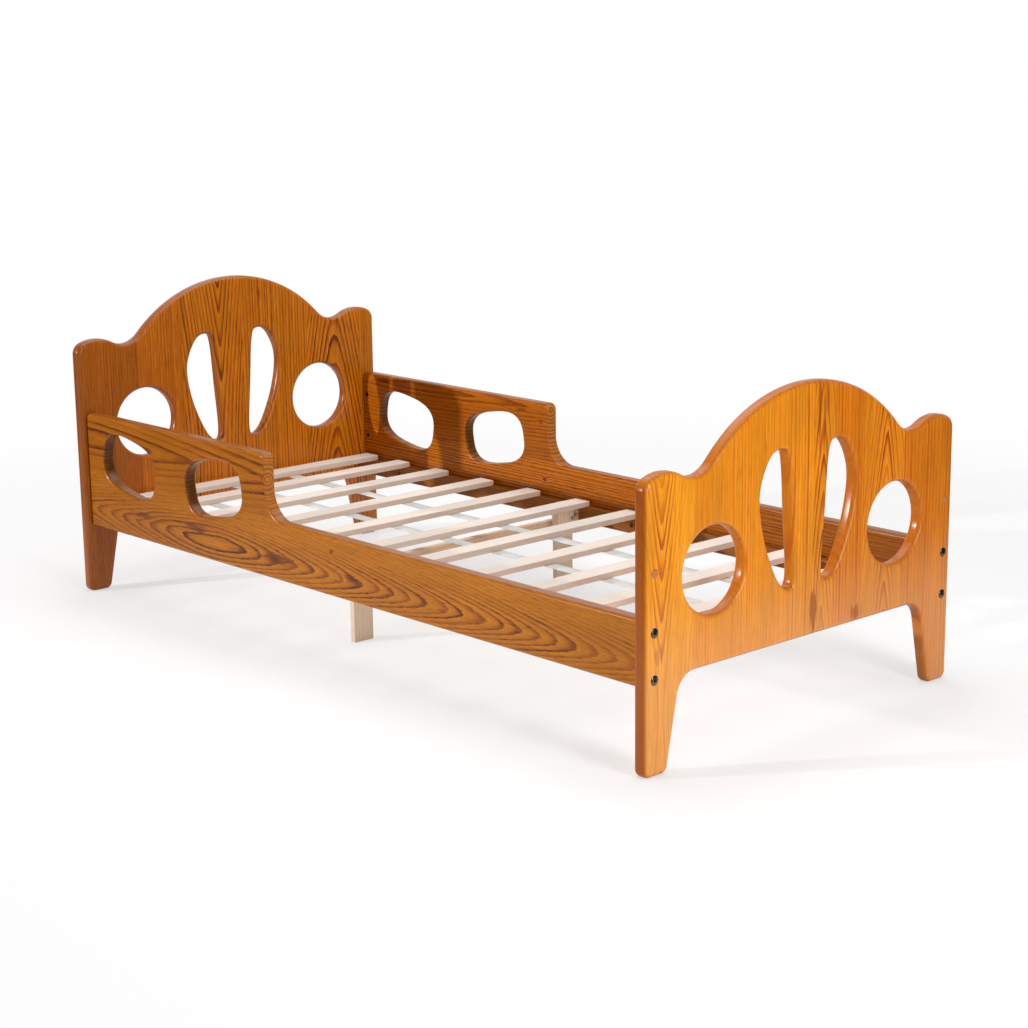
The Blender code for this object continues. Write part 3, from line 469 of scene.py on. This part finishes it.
def wovenTape():
    t = tapeLook
    material, add = newMaterial("wovenPolyesterTape")
    coords = add("TexCoord")
    place = add("SeparateXYZ", (coords["Object"],))
    turns = 2 * math.pi / (t["ribMm"] / 1000)
    waves = []
    for axis in (0, 1):
        wave = add("Math", (place[axis], turns), "MULTIPLY")[0]
        waves.append(add("Math", (wave,), "SINE")[0])
    weave = add("Math", (waves[0], waves[1]), "MULTIPLY")[0]
    soil = add("TexNoise", {"Vector": coords["Object"], "Scale": t["soilPerMetre"], "Detail": 3.0})[0]
    mixed = add("Math", (weave, t["weaveShade"], soil), "MULTIPLY_ADD")[0]
    shade = add("MapRange", (mixed, 0.35, 0.8, 0.0, t["shadeMost"]))[0]
    colour = add("Mix", {0: shade, 6: toLinear(t["pale"]), 7: toLinear(t["shade"])}, data_type="RGBA")[2]
    bump = add("Bump", {"Height": weave, "Strength": t["bump"], "Distance": t["reliefDepth"]})[0]
    surface = add("BsdfPrincipled", {
        "Base Color": colour, "Roughness": t["rough"], "Normal": bump, "Sheen Weight": t["sheen"]})[0]
    add("OutputMaterial", (surface,))
    return material


tapePolyester = wovenTape()
print("materials made")


# Pieces

def addObject(name, data):
    made = bpy.data.objects.new(name, data)
    scene.collection.objects.link(made)
    return made


def toMesh(shape, name):
    mesh = bpy.data.meshes.new(name)
    shape.to_mesh(mesh)
    shape.free()
    return mesh


def addPiece(name, mesh, material, body, nodes, location=(0, 0, 0), turn=(0, 0, 0)):
    piece = addObject(name, mesh)
    piece.location = location
    piece.rotation_euler = turn
    mesh.materials.clear()
    mesh.materials.append(material)
    bpy.context.view_layer.update()
    if nodes:
        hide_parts(*nodes)
    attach(piece, body)
    return piece


def smoothShaded(mesh, angle=32):
    mesh.shade_smooth()
    mesh.set_sharp_from_angle(angle=math.radians(angle))
    return mesh


def bakedMesh(maker, name):
    # the evaluated mesh of a curve or of an object with modifiers; the maker is removed
    bpy.context.view_layer.update()
    mesh = bpy.data.meshes.new_from_object(maker.evaluated_get(bpy.context.evaluated_depsgraph_get()))
    mesh.name = name
    bpy.data.objects.remove(maker)
    clean = bmesh.new()
    clean.from_mesh(mesh)
    bmesh.ops.remove_doubles(clean, verts=clean.verts, dist=1e-6)
    bmesh.ops.recalc_face_normals(clean, faces=clean.faces)
    clean.to_mesh(mesh)
    clean.free()
    return mesh


def evenNormals(piece):
    # keeps flat faces flat right up to the rounded edges
    even = piece.modifiers.new("evenNormals", "WEIGHTED_NORMAL")
    even.keep_sharp = True
    even.weight = 100


def boxOf(node):
    low, high = (Vector(corner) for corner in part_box(node))
    return low, high, (low + high) / 2


# Outlines, in metres

outlineSteps = {"widest": math.radians(7.5), "within": 0.00004, "leafSteps": 9, "guardHolePoints": 120}


def onCircle(centre, radius, angle):
    return centre[0] + radius * math.cos(angle), centre[1] + radius * math.sin(angle)


def arcPoints(centre, radius, start, end):
    step = min(outlineSteps["widest"], 2 * math.acos(1 - outlineSteps["within"] / radius))
    steps = max(2, math.ceil(abs(end - start) / step))
    return [onCircle(centre, radius, start + (end - start) * i / steps) for i in range(steps + 1)]


def heading(start, end):
    return math.atan2(end[1] - start[1], end[0] - start[0])


def cornerPoints(before, corner, after, radius):
    corner = Vector(corner)
    back = (Vector(before) - corner).normalized()
    ahead = (Vector(after) - corner).normalized()
    half = back.angle(ahead) / 2
    centre = corner + (back + ahead).normalized() * radius / math.sin(half)
    start = heading(centre, corner + back * radius / math.tan(half))
    end = heading(centre, corner + ahead * radius / math.tan(half))
    sweep = (end - start + math.pi) % (2 * math.pi) - math.pi
    return arcPoints(centre, radius, start, start + sweep)


def smoothLoop(points, steps):
    loop = []
    for i in range(len(points)):
        p0, p1, p2, p3 = (Vector(points[(i + k) % len(points)]) for k in (-1, 0, 1, 2))
        for step in range(steps):
            t = step / steps
            bend = 2 * p0 - 5 * p1 + 4 * p2 - p3
            twist = 3 * p1 - p0 - 3 * p2 + p3
            loop.append(tuple(p1 + 0.5 * ((p2 - p0) * t + bend * t * t + twist * t ** 3)))
    return loop


def mirrored(points):
    return [(-across, up) for across, up in reversed(points)]


def roundedBoard(name, loops, thickness, edgeRound):
    # a board sawn to the loops, every edge rounded over
    curve = bpy.data.curves.new(name, "CURVE")
    curve.dimensions = "2D"
    curve.fill_mode = "BOTH"
    curve.extrude = thickness / 2 - edgeRound
    curve.bevel_depth = edgeRound
    curve.offset = -edgeRound
    curve.bevel_resolution = 4
    for loop in loops:
        spline = curve.splines.new("POLY")
        spline.points.add(len(loop) - 1)
        spline.use_cyclic_u = True
        for point, place in zip(spline.points, loop):
            point.co = (*place, 0, 1)
    return bakedMesh(addObject(name, curve), name)


def bored(mesh, name, holes):
    # holes are (centre, radius, length) in the board's own axes, straight through its face
    board = addObject(name, mesh)
    drills = []
    for centre, radius, length in holes:
        drill = bmesh.new()
        bmesh.ops.create_cone(drill, cap_ends=True, segments=40, radius1=radius, radius2=radius,
                              depth=length, matrix=Matrix.Translation(centre))
        drillPiece = addObject("drill", toMesh(drill, "drill"))
        boring = board.modifiers.new("boring", "BOOLEAN")
        boring.object = drillPiece
        boring.operation = "DIFFERENCE"
        boring.solver = "EXACT"
        drills.append(drillPiece)
    result = bakedMesh(board, name)
    for drillPiece in drills:
        bpy.data.objects.remove(drillPiece)
    return result


# Head and foot boards

boardSizes = {
    "halfWidth": 0.392, "thickness": 0.027, "edgeRound": 0.009, "lowerEdge": 0.157,
    "archTop": 0.5915, "valleyBelowArch": 0.118, "valleyFromSide": 0.115, "valleyRadius": 0.057,
    "shoulderRise": 0.017, "shoulderFromSide": 0.047, "shoulderCorner": 0.024,
    "footAtFloor": 0.053, "footAtTop": 0.085, "footTopRadius": 0.040, "footCorner": 0.014,
    "headRise": 0.0447, "headCutoutRise": 0.0315,
    "cutoutLevel": 0.3147, "holeRadius": 0.0725, "holeFromSide": 0.161,
    "leaf": [(0.0370, -0.0447), (0.0440, 0.0553), (0.0515, 0.1473), (0.0640, 0.1703), (0.0960, 0.1608),
             (0.1205, 0.1053), (0.1095, 0.0303), (0.0770, -0.0427), (0.0500, -0.0647)],
    "boltHole": (0.0085, 0.0022), "plugHole": (0.0073, 0.004),  # radius and depth
}


def boardLoops(rise, cutoutRise):
    s = boardSizes
    side = s["halfWidth"]
    top = s["archTop"] + rise
    floor = top - s["valleyBelowArch"]
    r = s["valleyRadius"]
    valley = (side - s["valleyFromSide"], floor + r)
    drop = valley[1] - top
    archRadius = (valley[0] ** 2 + drop ** 2 - r ** 2) / (2 * (r - drop))
    arch = (0, top - archRadius)
    crest = side - s["shoulderFromSide"]
    fall = r - s["shoulderRise"]
    shoulderRadius = ((crest - valley[0]) ** 2 + fall ** 2 - r ** 2) / (2 * s["shoulderRise"])
    shoulder = (crest, floor + s["shoulderRise"] - shoulderRadius)
    cornerSide = side - s["shoulderCorner"]
    cornerRise = math.sqrt((shoulderRadius - s["shoulderCorner"]) ** 2 - (cornerSide - crest) ** 2)
    corner = (cornerSide, shoulder[1] + cornerRise)
    full = 2 * math.pi
    half = arcPoints(arch, archRadius, math.pi / 2, heading(arch, valley))
    half += arcPoints(valley, r, heading(valley, arch) + full, heading(valley, shoulder) + full)[1:]
    half += arcPoints(shoulder, shoulderRadius, heading(shoulder, valley), heading(shoulder, corner))[1:]
    half += arcPoints(corner, s["shoulderCorner"], heading(shoulder, corner), 0)[1:]
    outer = (side, 0)
    inner = (side - s["footAtFloor"], 0)
    hip = (side - s["footAtTop"], s["lowerEdge"])
    half += cornerPoints(half[-1], outer, inner, s["footCorner"])
    half += cornerPoints(outer, inner, hip, s["footCorner"])
    half += cornerPoints(inner, hip, (0, s["lowerEdge"]), s["footTopRadius"])
    level = s["cutoutLevel"] + cutoutRise
    hole = arcPoints((side - s["holeFromSide"], level), s["holeRadius"], 0, full)[:-1]
    leaf = smoothLoop([(across, level + up) for across, up in s["leaf"]], outlineSteps["leafSteps"])
    return [half + mirrored(half[1:]), hole, mirrored(hole), leaf, mirrored(leaf)]


def makeBoard(name, rise, cutoutRise, material):
    s = boardSizes
    outwards = 1 if name == "footboard" else -1
    end = name[:4]
    mesh = roundedBoard(name + "Wood", boardLoops(rise, cutoutRise), s["thickness"], s["edgeRound"])
    face = outwards * s["thickness"] / 2
    holes = []
    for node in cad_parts:
        kind = node.split("_")[-1]
        if node.startswith(end + "_") and kind in ("bolt", "plug"):
            centre = boxOf(node)[2]
            radius, depth = s[kind + "Hole"]
            holes.append(((centre.y, centre.z, face), radius, 2 * depth))
    mesh = smoothShaded(bored(mesh, name + "Wood", holes))
    place = (boxOf(name)[2].x, 0, 0)
    turn = (math.pi / 2, 0, math.pi / 2)
    evenNormals(addPiece(name + "Wood", mesh, material, "frame", [name], place, turn))


makeBoard("footboard", 0, 0, footPine)
makeBoard("headboard", boardSizes["headRise"], boardSizes["headCutoutRise"], headPine)
print("boards made")


# Side rails

railSizes = {
    "bottom": 0.145, "top": 0.258, "guardTop": 0.3845, "thickness": 0.026, "edgeRound": 0.006,
    "guardLength": 0.624, "headFace": -0.802,
    "guardCorner": 0.014, "guardSweep": 0.058, "headCorner": 0.010,
    "holeFromHead": 0.154, "holeSpacing": 0.298, "holeLevel": 0.290,
    "holeHalfLength": 0.0925, "holeHalfHeight": 0.0567,
    "holeSquareness": 2.9, "holeLean": math.radians(9.7),
    "nutHole": (0.0053, 0.0228),  # radius and depth
}


def guardHole(centre, lean):
    s = railSizes
    count = outlineSteps["guardHolePoints"]
    points = []
    for i in range(count):
        angle = 2 * math.pi * i / count
        run, rise = math.cos(angle), math.sin(angle)
        run = math.copysign(abs(run) ** (2 / s["holeSquareness"]), run) * s["holeHalfLength"]
        rise = math.copysign(abs(rise) ** (2 / s["holeSquareness"]), rise) * s["holeHalfHeight"]
        points.append((centre[0] + run * math.cos(lean) - rise * math.sin(lean),
                       centre[1] + run * math.sin(lean) + rise * math.cos(lean)))
    return points


def makeRail(name, side, material):
    s = railSizes
    low, high, centre = boxOf(name)
    place = (0, centre.y, 0)
    guardEnd = s["headFace"] + s["guardLength"]
    corners = [
        ((low.x, s["bottom"]), 0), ((high.x, s["bottom"]), 0), ((high.x, s["top"]), 0),
        ((guardEnd, s["top"]), s["guardSweep"]), ((guardEnd, s["guardTop"]), s["guardCorner"]),
        ((low.x, s["guardTop"]), s["headCorner"]),
    ]
    outline = []
    for i, (corner, radius) in enumerate(corners):
        before, after = corners[i - 1][0], corners[(i + 1) % len(corners)][0]
        outline += cornerPoints(before, corner, after, radius) if radius else [corner]
    first = s["headFace"] + s["holeFromHead"]
    loops = [outline, guardHole((first, s["holeLevel"]), -s["holeLean"]),
             guardHole((first + s["holeSpacing"], s["holeLevel"]), s["holeLean"])]
    mesh = roundedBoard(name + "Wood", loops, s["thickness"], s["edgeRound"])
    inside = side * s["thickness"] / 2  # the rail's own +Z looks to the front
    holes = []
    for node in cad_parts:
        if node.endswith("_nut") and f"_{name[:-5]}_" in node:
            nut = boxOf(node)[2]
            radius, depth = s["nutHole"]
            holes.append(((nut.x, nut.z, inside), radius, 2 * depth))
    mesh = smoothShaded(bored(mesh, name + "Wood", holes))
    turn = (math.pi / 2, 0, 0)
    evenNormals(addPiece(name + "Wood", mesh, material, "frame", [name], place, turn))


makeRail("front_rail", -1, frontRailPine)
makeRail("back_rail", 1, backRailPine)
print("rails made")


# Battens: slats, ledgers and the mid support

battenSizes = {"slatEase": 0.0014, "ledgerEase": 0.0016, "supportEase": 0.0012, "easeSteps": 3}


def makeBatten(name, node, ease, material, body):
    low, high, centre = boxOf(node)
    block = bmesh.new()
    bmesh.ops.create_cube(block, size=1, matrix=Matrix.Diagonal((*(high - low), 1)))
    bmesh.ops.bevel(block, geom=block.edges[:], offset=ease, segments=battenSizes["easeSteps"],
                    profile=0.5, affect="EDGES")
    mesh = smoothShaded(toMesh(block, name), 50)
    evenNormals(addPiece(name, mesh, material, body, [node], centre))


slatNodes = sorted(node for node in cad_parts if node.startswith("slat_"))
ledgerNodes = {
    "ledgerFront": "front_ledger", "ledgerBackHead": "back_ledger_head", "ledgerBackFoot": "back_ledger_foot"}
supportNodes = {
    "supportBeam": "support_beam", "supportLegFront": "support_leg_front",
    "supportLegBack": "support_leg_back", "supportBlock": "support_block"}
for node in slatNodes:
    name = node.replace("slat_", "slatWood")
    makeBatten(name, node, battenSizes["slatEase"], slatPine, "slat_base")
for name, node in ledgerNodes.items():
    makeBatten(name, node, battenSizes["ledgerEase"], ledgerPine, "frame")
for name, node in supportNodes.items():
    supportWood = beamPine if name == "supportBeam" else supportPine
    makeBatten(name, node, battenSizes["supportEase"], supportWood, "frame")
print("battens made:", len(slatNodes), "slats")


# Tapes under the slats, with the staples that hold them

tapeSizes = {"sag": 0.0008, "stepsPerGap": 10, "heldBeyond": 0.002, "selvedgeFlat": 0.4}
stapleSizes = {
    "length": 0.011, "wire": 0.0007, "proud": 0.0005, "pressed": 0.0001, "ease": 0.00015, "fromSlatEdge": 0.012}
slatSpans = [(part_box(node)[0][0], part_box(node)[1][0]) for node in slatNodes]
tapeNodes = {"tapeFront": "tape_front", "tapeMiddle": "tape_middle", "tapeBack": "tape_back"}


def makeTape(name, node):
    s = tapeSizes
    low, high, centre = boxOf(node)
    # places along the tape, each with its share of the sag
    stations = [(low.x, 0.0)]
    for (_, gapStart), (gapEnd, _) in zip(slatSpans, slatSpans[1:]):
        stations.append((gapStart - s["heldBeyond"], 0.0))
        for i in range(1, s["stepsPerGap"]):
            t = i / s["stepsPerGap"]
            stations.append((gapStart + (gapEnd - gapStart) * t, 4 * t * (1 - t)))
        stations.append((gapEnd + s["heldBeyond"], 0.0))
    stations.append((high.x, 0.0))
    half = (high.y - low.y) / 2
    edge = (high.z - low.z) / 2
    lip = edge * s["selvedgeFlat"]
    section = [(-half, -lip), (-half + edge, -edge), (0, -edge), (half - edge, -edge), (half, -lip),
               (half, lip), (half - edge, edge), (0, edge), (-half + edge, edge), (-half, lip)]
    cloth = bmesh.new()
    rings = []
    for along, droop in stations:
        height = -edge - droop * s["sag"]
        rings.append([cloth.verts.new((along, across, height + up)) for across, up in section])
    for ringA, ringB in zip(rings, rings[1:]):
        for i in range(len(section)):
            j = (i + 1) % len(section)
            cloth.faces.new((ringA[i], ringA[j], ringB[j], ringB[i]))
    cloth.faces.new(rings[0])
    cloth.faces.new(rings[-1])
    bmesh.ops.recalc_face_normals(cloth, faces=cloth.faces)
    mesh = smoothShaded(toMesh(cloth, name), 40)
    addPiece(name, mesh, tapePolyester, "slat_base", [node], (0, centre.y, high.z))


for name, node in tapeNodes.items():
    makeTape(name, node)


def makeStaples():
    # two staples at each crossing, driven up through the tape
    s = stapleSizes
    wires = bmesh.new()
    size = Matrix.Diagonal((s["wire"], s["length"], s["proud"], 1))
    for node in tapeNodes.values():
        low, high, centre = boxOf(node)
        for start, end in slatSpans:
            for along in (start + s["fromSlatEdge"], end - s["fromSlatEdge"]):
                place = Vector((along, centre.y, low.z - s["proud"] / 2 + s["pressed"]))
                bmesh.ops.create_cube(wires, size=1, matrix=Matrix.Translation(place) @ size)
    bmesh.ops.bevel(wires, geom=wires.edges[:], offset=s["ease"], segments=1, affect="EDGES")
    addPiece("tapeStaples", toMesh(wires, "tapeStaples"), stapleSteel, "slat_base", [])


makeStaples()
print("tapes and staples made")


# Fasteners

fastenerSizes = {
    "sides": 48, "rimEase": 0.0004, "boltHead": 0.0082, "boltHeadHeight": 0.0038, "boltShank": 0.003,
    "domeFoot": 0.42, "domeDegrees": (46, 54, 62, 70, 78, 85), "domeFlatness": 0.8, "domeRim": 0.36,
    "socketAcross": 0.005, "socketDepth": 0.0024, "socketLip": 0.93, "socketTop": 0.955,
    "nutRadius": 0.005, "nutSlotLength": 0.0042, "nutSlotHalf": 0.0007, "nutSlotDepth": 0.0016,
    "screwHead": 0.004, "screwShank": 0.002, "screwHeadDepth": 0.0024, "screwRim": 0.0002,
    "screwTip": 0.005, "screwPoint": 0.0003, "crossLength": 0.0021, "crossHalf": 0.0005, "crossDepth": 0.0012,
    "plugRadius": 0.007, "plugDome": 0.0003,
}


def barShape(reach, half, angle):
    run, rise = abs(math.cos(angle)), abs(math.sin(angle))
    return min(reach / max(run, 1e-6), half / max(rise, 1e-6))


def ringRadius(shape, radius, angle):
    s = fastenerSizes
    if shape == "hex":
        turn = (angle + math.pi / 6) % (math.pi / 3) - math.pi / 6
        return radius / math.cos(turn)
    if shape == "slot":
        return barShape(s["nutSlotLength"], s["nutSlotHalf"], angle)
    if shape == "cross":
        return max(barShape(s["crossLength"], s["crossHalf"], angle),
                   barShape(s["crossLength"], s["crossHalf"], angle + math.pi / 2))
    return radius


def ringSolid(name, rings):
    # rings of (shape, radius, height) from the middle of the top to the middle of the bottom
    count = fastenerSizes["sides"]
    solid = bmesh.new()
    loops = []
    for shape, radius, height in rings:
        loop = []
        for i in range(count):
            angle = 2 * math.pi * i / count
            reach = ringRadius(shape, radius, angle)
            loop.append(solid.verts.new((reach * math.cos(angle), reach * math.sin(angle), height)))
        loops.append(loop)
    solid.faces.new(loops[0])
    solid.faces.new(loops[-1])
    for upper, lower in zip(loops, loops[1:]):
        for i in range(count):
            j = (i + 1) % count
            solid.faces.new((upper[i], lower[i], lower[j], upper[j]))
    bmesh.ops.recalc_face_normals(solid, faces=solid.faces)
    return smoothShaded(toMesh(solid, name), 40)


def boltRings(length):
    s = fastenerSizes
    head, tall = s["boltHead"], s["boltHeadHeight"]
    floor = tall - s["socketDepth"]
    flats = s["socketAcross"] / 2
    foot = s["domeFoot"]
    dome = [("round", head * math.sin(a), tall * (foot + (1 - foot) * math.cos(a) ** s["domeFlatness"]))
            for a in map(math.radians, s["domeDegrees"])]
    return [("hex", flats * 0.5, floor), ("hex", flats, floor), ("hex", flats, tall * s["socketLip"]),
            ("hex", flats * 1.05, tall * s["socketTop"]), *dome, ("round", head, tall * s["domeRim"]),
            ("round", head, 0), ("round", s["boltShank"], 0), ("round", s["boltShank"], -length)]


def nutRings(length):
    s = fastenerSizes
    half, ease, r = length / 2, s["rimEase"], s["nutRadius"]
    return [("slot", 0, half - s["nutSlotDepth"]), ("slot", 0, half), ("round", r - ease, half),
            ("round", r, half - ease), ("round", r, ease - half), ("round", r - ease, -half)]


def screwRings(length):
    s = fastenerSizes
    head, shank = s["screwHead"], s["screwShank"]
    return [("cross", 0, -s["crossDepth"]), ("cross", 0, 0), ("round", head, 0),
            ("round", head, -s["screwRim"]), ("round", shank, -s["screwHeadDepth"]),
            ("round", shank, s["screwTip"] - length), ("round", s["screwPoint"], -length)]


def plugRings(length):
    s = fastenerSizes
    half, ease, r = length / 2, s["rimEase"], s["plugRadius"]
    rim = half - s["plugDome"]
    return [("round", r * 0.3, half), ("round", r * 0.7, half - s["plugDome"] * 0.4), ("round", r - ease, rim),
            ("round", r, rim - ease), ("round", r, -half)]


def headSide(node):
    # which way a fastener's head looks
    if node.endswith(("_bolt", "_plug")):
        return Vector((1 if node.startswith("foot") else -1, 0, 0))
    if node.endswith("_nut"):
        return Vector((0, 1 if "_front_" in node else -1, 0))
    if node.startswith("block_screw"):
        return Vector((1, 0, 0))
    if node.startswith("beam_screw"):
        return Vector((-1, 0, 0))
    return Vector((0, 1 if node.startswith("front") else -1, 0))


def makeFastener(node):
    low, high, centre = boxOf(node)
    side = headSide(node)
    length = abs((high - low).dot(side))
    top = centre + side * length / 2
    words = node.split("_")
    name = words[0] + "".join(word.capitalize() for word in words[1:])
    if node.endswith("_bolt"):
        tall = fastenerSizes["boltHeadHeight"]
        rings, place, material, slot = boltRings(length - tall), top - side * tall, boltSteel, "dark_steel"
    elif node.endswith("_nut"):
        rings, place, material, slot = nutRings(length), centre, boltSteel, "dark_steel"
    elif node.endswith("_plug"):
        rings, place, material, slot = plugRings(length), centre, plugPine, "plug_pine"
    else:
        rings, place, material, slot = screwRings(length), top, screwSteel, "screw_steel"
    turn = side.to_track_quat("Z", "Y").to_euler()
    addPiece(name, ringSolid(name, rings), material, "frame", [node], place, turn)


fastenerNodes = [
    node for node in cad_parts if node.endswith(("_bolt", "_nut", "_plug")) or "_screw_" in node]
for node in fastenerNodes:
    makeFastener(node)
print("fasteners made:", len(fastenerNodes))


# Floor, light and camera

stageLook = {
    "floor": "ffffff", "floorBounce": "e6e6e6", "floorAway": "4c4c4c", "floorHalf": 300.0,
    "fadeLow": 0.5, "fadeFrom": 1.0, "fadeTo": 2.6, "glossFrom": 0.9, "glossTo": 2.0,
    "air": "ffffff", "airLight": 0.14, "backdrop": (-0.74, 0.67, 0.0), "backdropFrom": 0.2, "backdropTo": 0.8,
}


def makeFloor():
    # white to the eye with the object's shadow on it; it sends less light back up than white paper
    s = stageLook
    material, add = newMaterial("palePaperFloor")
    coords = add("TexCoord")["Object"]
    far = add("VectorMath", (coords,), "LENGTH")["Value"]
    fade = add("MapRange", (far, s["fadeFrom"], s["fadeTo"], s["fadeLow"]), interpolation_type="SMOOTHSTEP")[0]
    rays = add("LightPath")
    near = add("MapRange", (far, s["glossFrom"], s["glossTo"], 1.0, 0.0))[0]
    gloss = add("Math", (rays["Is Glossy Ray"], near), "MULTIPLY")[0]
    seen = add("Math", (rays["Is Camera Ray"], gloss), "MAXIMUM")[0]
    seen = add("Math", (seen, rays["Is Transmission Ray"]), "MAXIMUM")[0]
    fade = add("Math", (fade, seen), "MULTIPLY")[0]
    colour = add("Mix", {0: seen, 6: toLinear(s["floorBounce"]), 7: toLinear(s["floor"])}, data_type="RGBA")[2]
    away = add("Math", (rays["Is Glossy Ray"], gloss), "SUBTRACT")[0]
    colour = add("Mix", {0: away, 6: colour, 7: toLinear(s["floorAway"])}, data_type="RGBA")[2]
    paper = add("BsdfDiffuse", {"Color": colour})[0]
    white = add("Emission", {"Color": toLinear(s["air"]), "Strength": 1.0})[0]
    surface = add("MixShader", (fade, paper, white))[0]
    add("OutputMaterial", (surface,))
    half = s["floorHalf"]
    mesh = bpy.data.meshes.new("floor")
    corners = [(-half, -half, 0), (half, -half, 0), (half, half, 0), (-half, half, 0)]
    mesh.from_pydata(corners, [], [(0, 1, 2, 3)])
    mesh.materials.append(material)
    addObject("floor", mesh)


def makeAir():
    # white where it is seen, dim as a light, and seen in gloss only towards the backdrop
    s = stageLook
    world = bpy.data.worlds.new("studioAir")
    scene.world = world
    world.use_nodes = True
    world.node_tree.nodes.clear()
    add = partial(addNode, world.node_tree)
    rays = add("LightPath")
    coords = add("TexCoord")["Generated"]
    behind = add("VectorMath", (coords, s["backdrop"]), "DOT_PRODUCT")["Value"]
    behind = add("MapRange", (behind, s["backdropFrom"], s["backdropTo"], 0.0, 1.0))[0]
    gloss = add("Math", (rays["Is Glossy Ray"], behind), "MULTIPLY")[0]
    seen = add("Math", (rays["Is Camera Ray"], gloss), "MAXIMUM")[0]
    seen = add("Math", (seen, rays["Is Transmission Ray"]), "MAXIMUM")[0]
    strength = add("MapRange", {0: seen, 3: s["airLight"], 4: 1.0})[0]
    air = add("Background", {"Color": toLinear(s["air"]), "Strength": strength})[0]
    add("OutputWorld", (air,))


lamps = {
    "softboxRight": {"place": (3.3, -0.45, 1.15), "aim": (0.8, 0.0, 0.35), "size": (0.7, 1.7), "power": 47.0},
    "softboxLeft": {"place": (-3.89, -7.0, 2.03), "aim": (-0.2, 0.0, 0.25), "size": (0.18, 0.18), "power": 440.0},
    "softboxTop": {"place": (-0.2, 0.4, 3.2), "aim": (0.0, 0.0, 0.2), "size": (3.2, 3.2), "power": 92.0},
}


def makeLamps():
    for name, lamp in lamps.items():
        data = bpy.data.lights.new(name, "AREA")
        data.shape = "RECTANGLE"
        data.size, data.size_y = lamp["size"]
        data.energy = lamp["power"]
        shown = addObject(name, data)
        shown.location = lamp["place"]
        aim = Vector(lamp["aim"]) - Vector(lamp["place"])
        shown.rotation_euler = aim.to_track_quat("-Z", "Y").to_euler()


cameraView = {
    "place": (3.0746, -2.7129, 1.1734), "yaw": 2.402, "pitch": -0.2252, "roll": -0.0122,  # metres and radians
    "lens": 75.59, "sensor": 36.0,  # millimetres
}


def makeCamera():
    v = cameraView
    level = math.cos(v["pitch"])
    ahead = Vector((level * math.cos(v["yaw"]), level * math.sin(v["yaw"]), math.sin(v["pitch"])))
    right = ahead.cross(Vector((0, 0, 1))).normalized()
    up = right.cross(ahead)
    rolledRight = right * math.cos(v["roll"]) + up * math.sin(v["roll"])
    rolledUp = up * math.cos(v["roll"]) - right * math.sin(v["roll"])
    data = bpy.data.cameras.new("camera")
    data.lens = v["lens"]
    data.sensor_width = v["sensor"]
    camera = addObject("camera", data)
    axes = Matrix((rolledRight, rolledUp, -ahead)).transposed().to_4x4()
    camera.matrix_world = Matrix.Translation(v["place"]) @ axes
    scene.camera = camera


makeFloor()
makeAir()
makeLamps()
makeCamera()
scene.view_settings.view_transform = "Standard"
print("stage made")
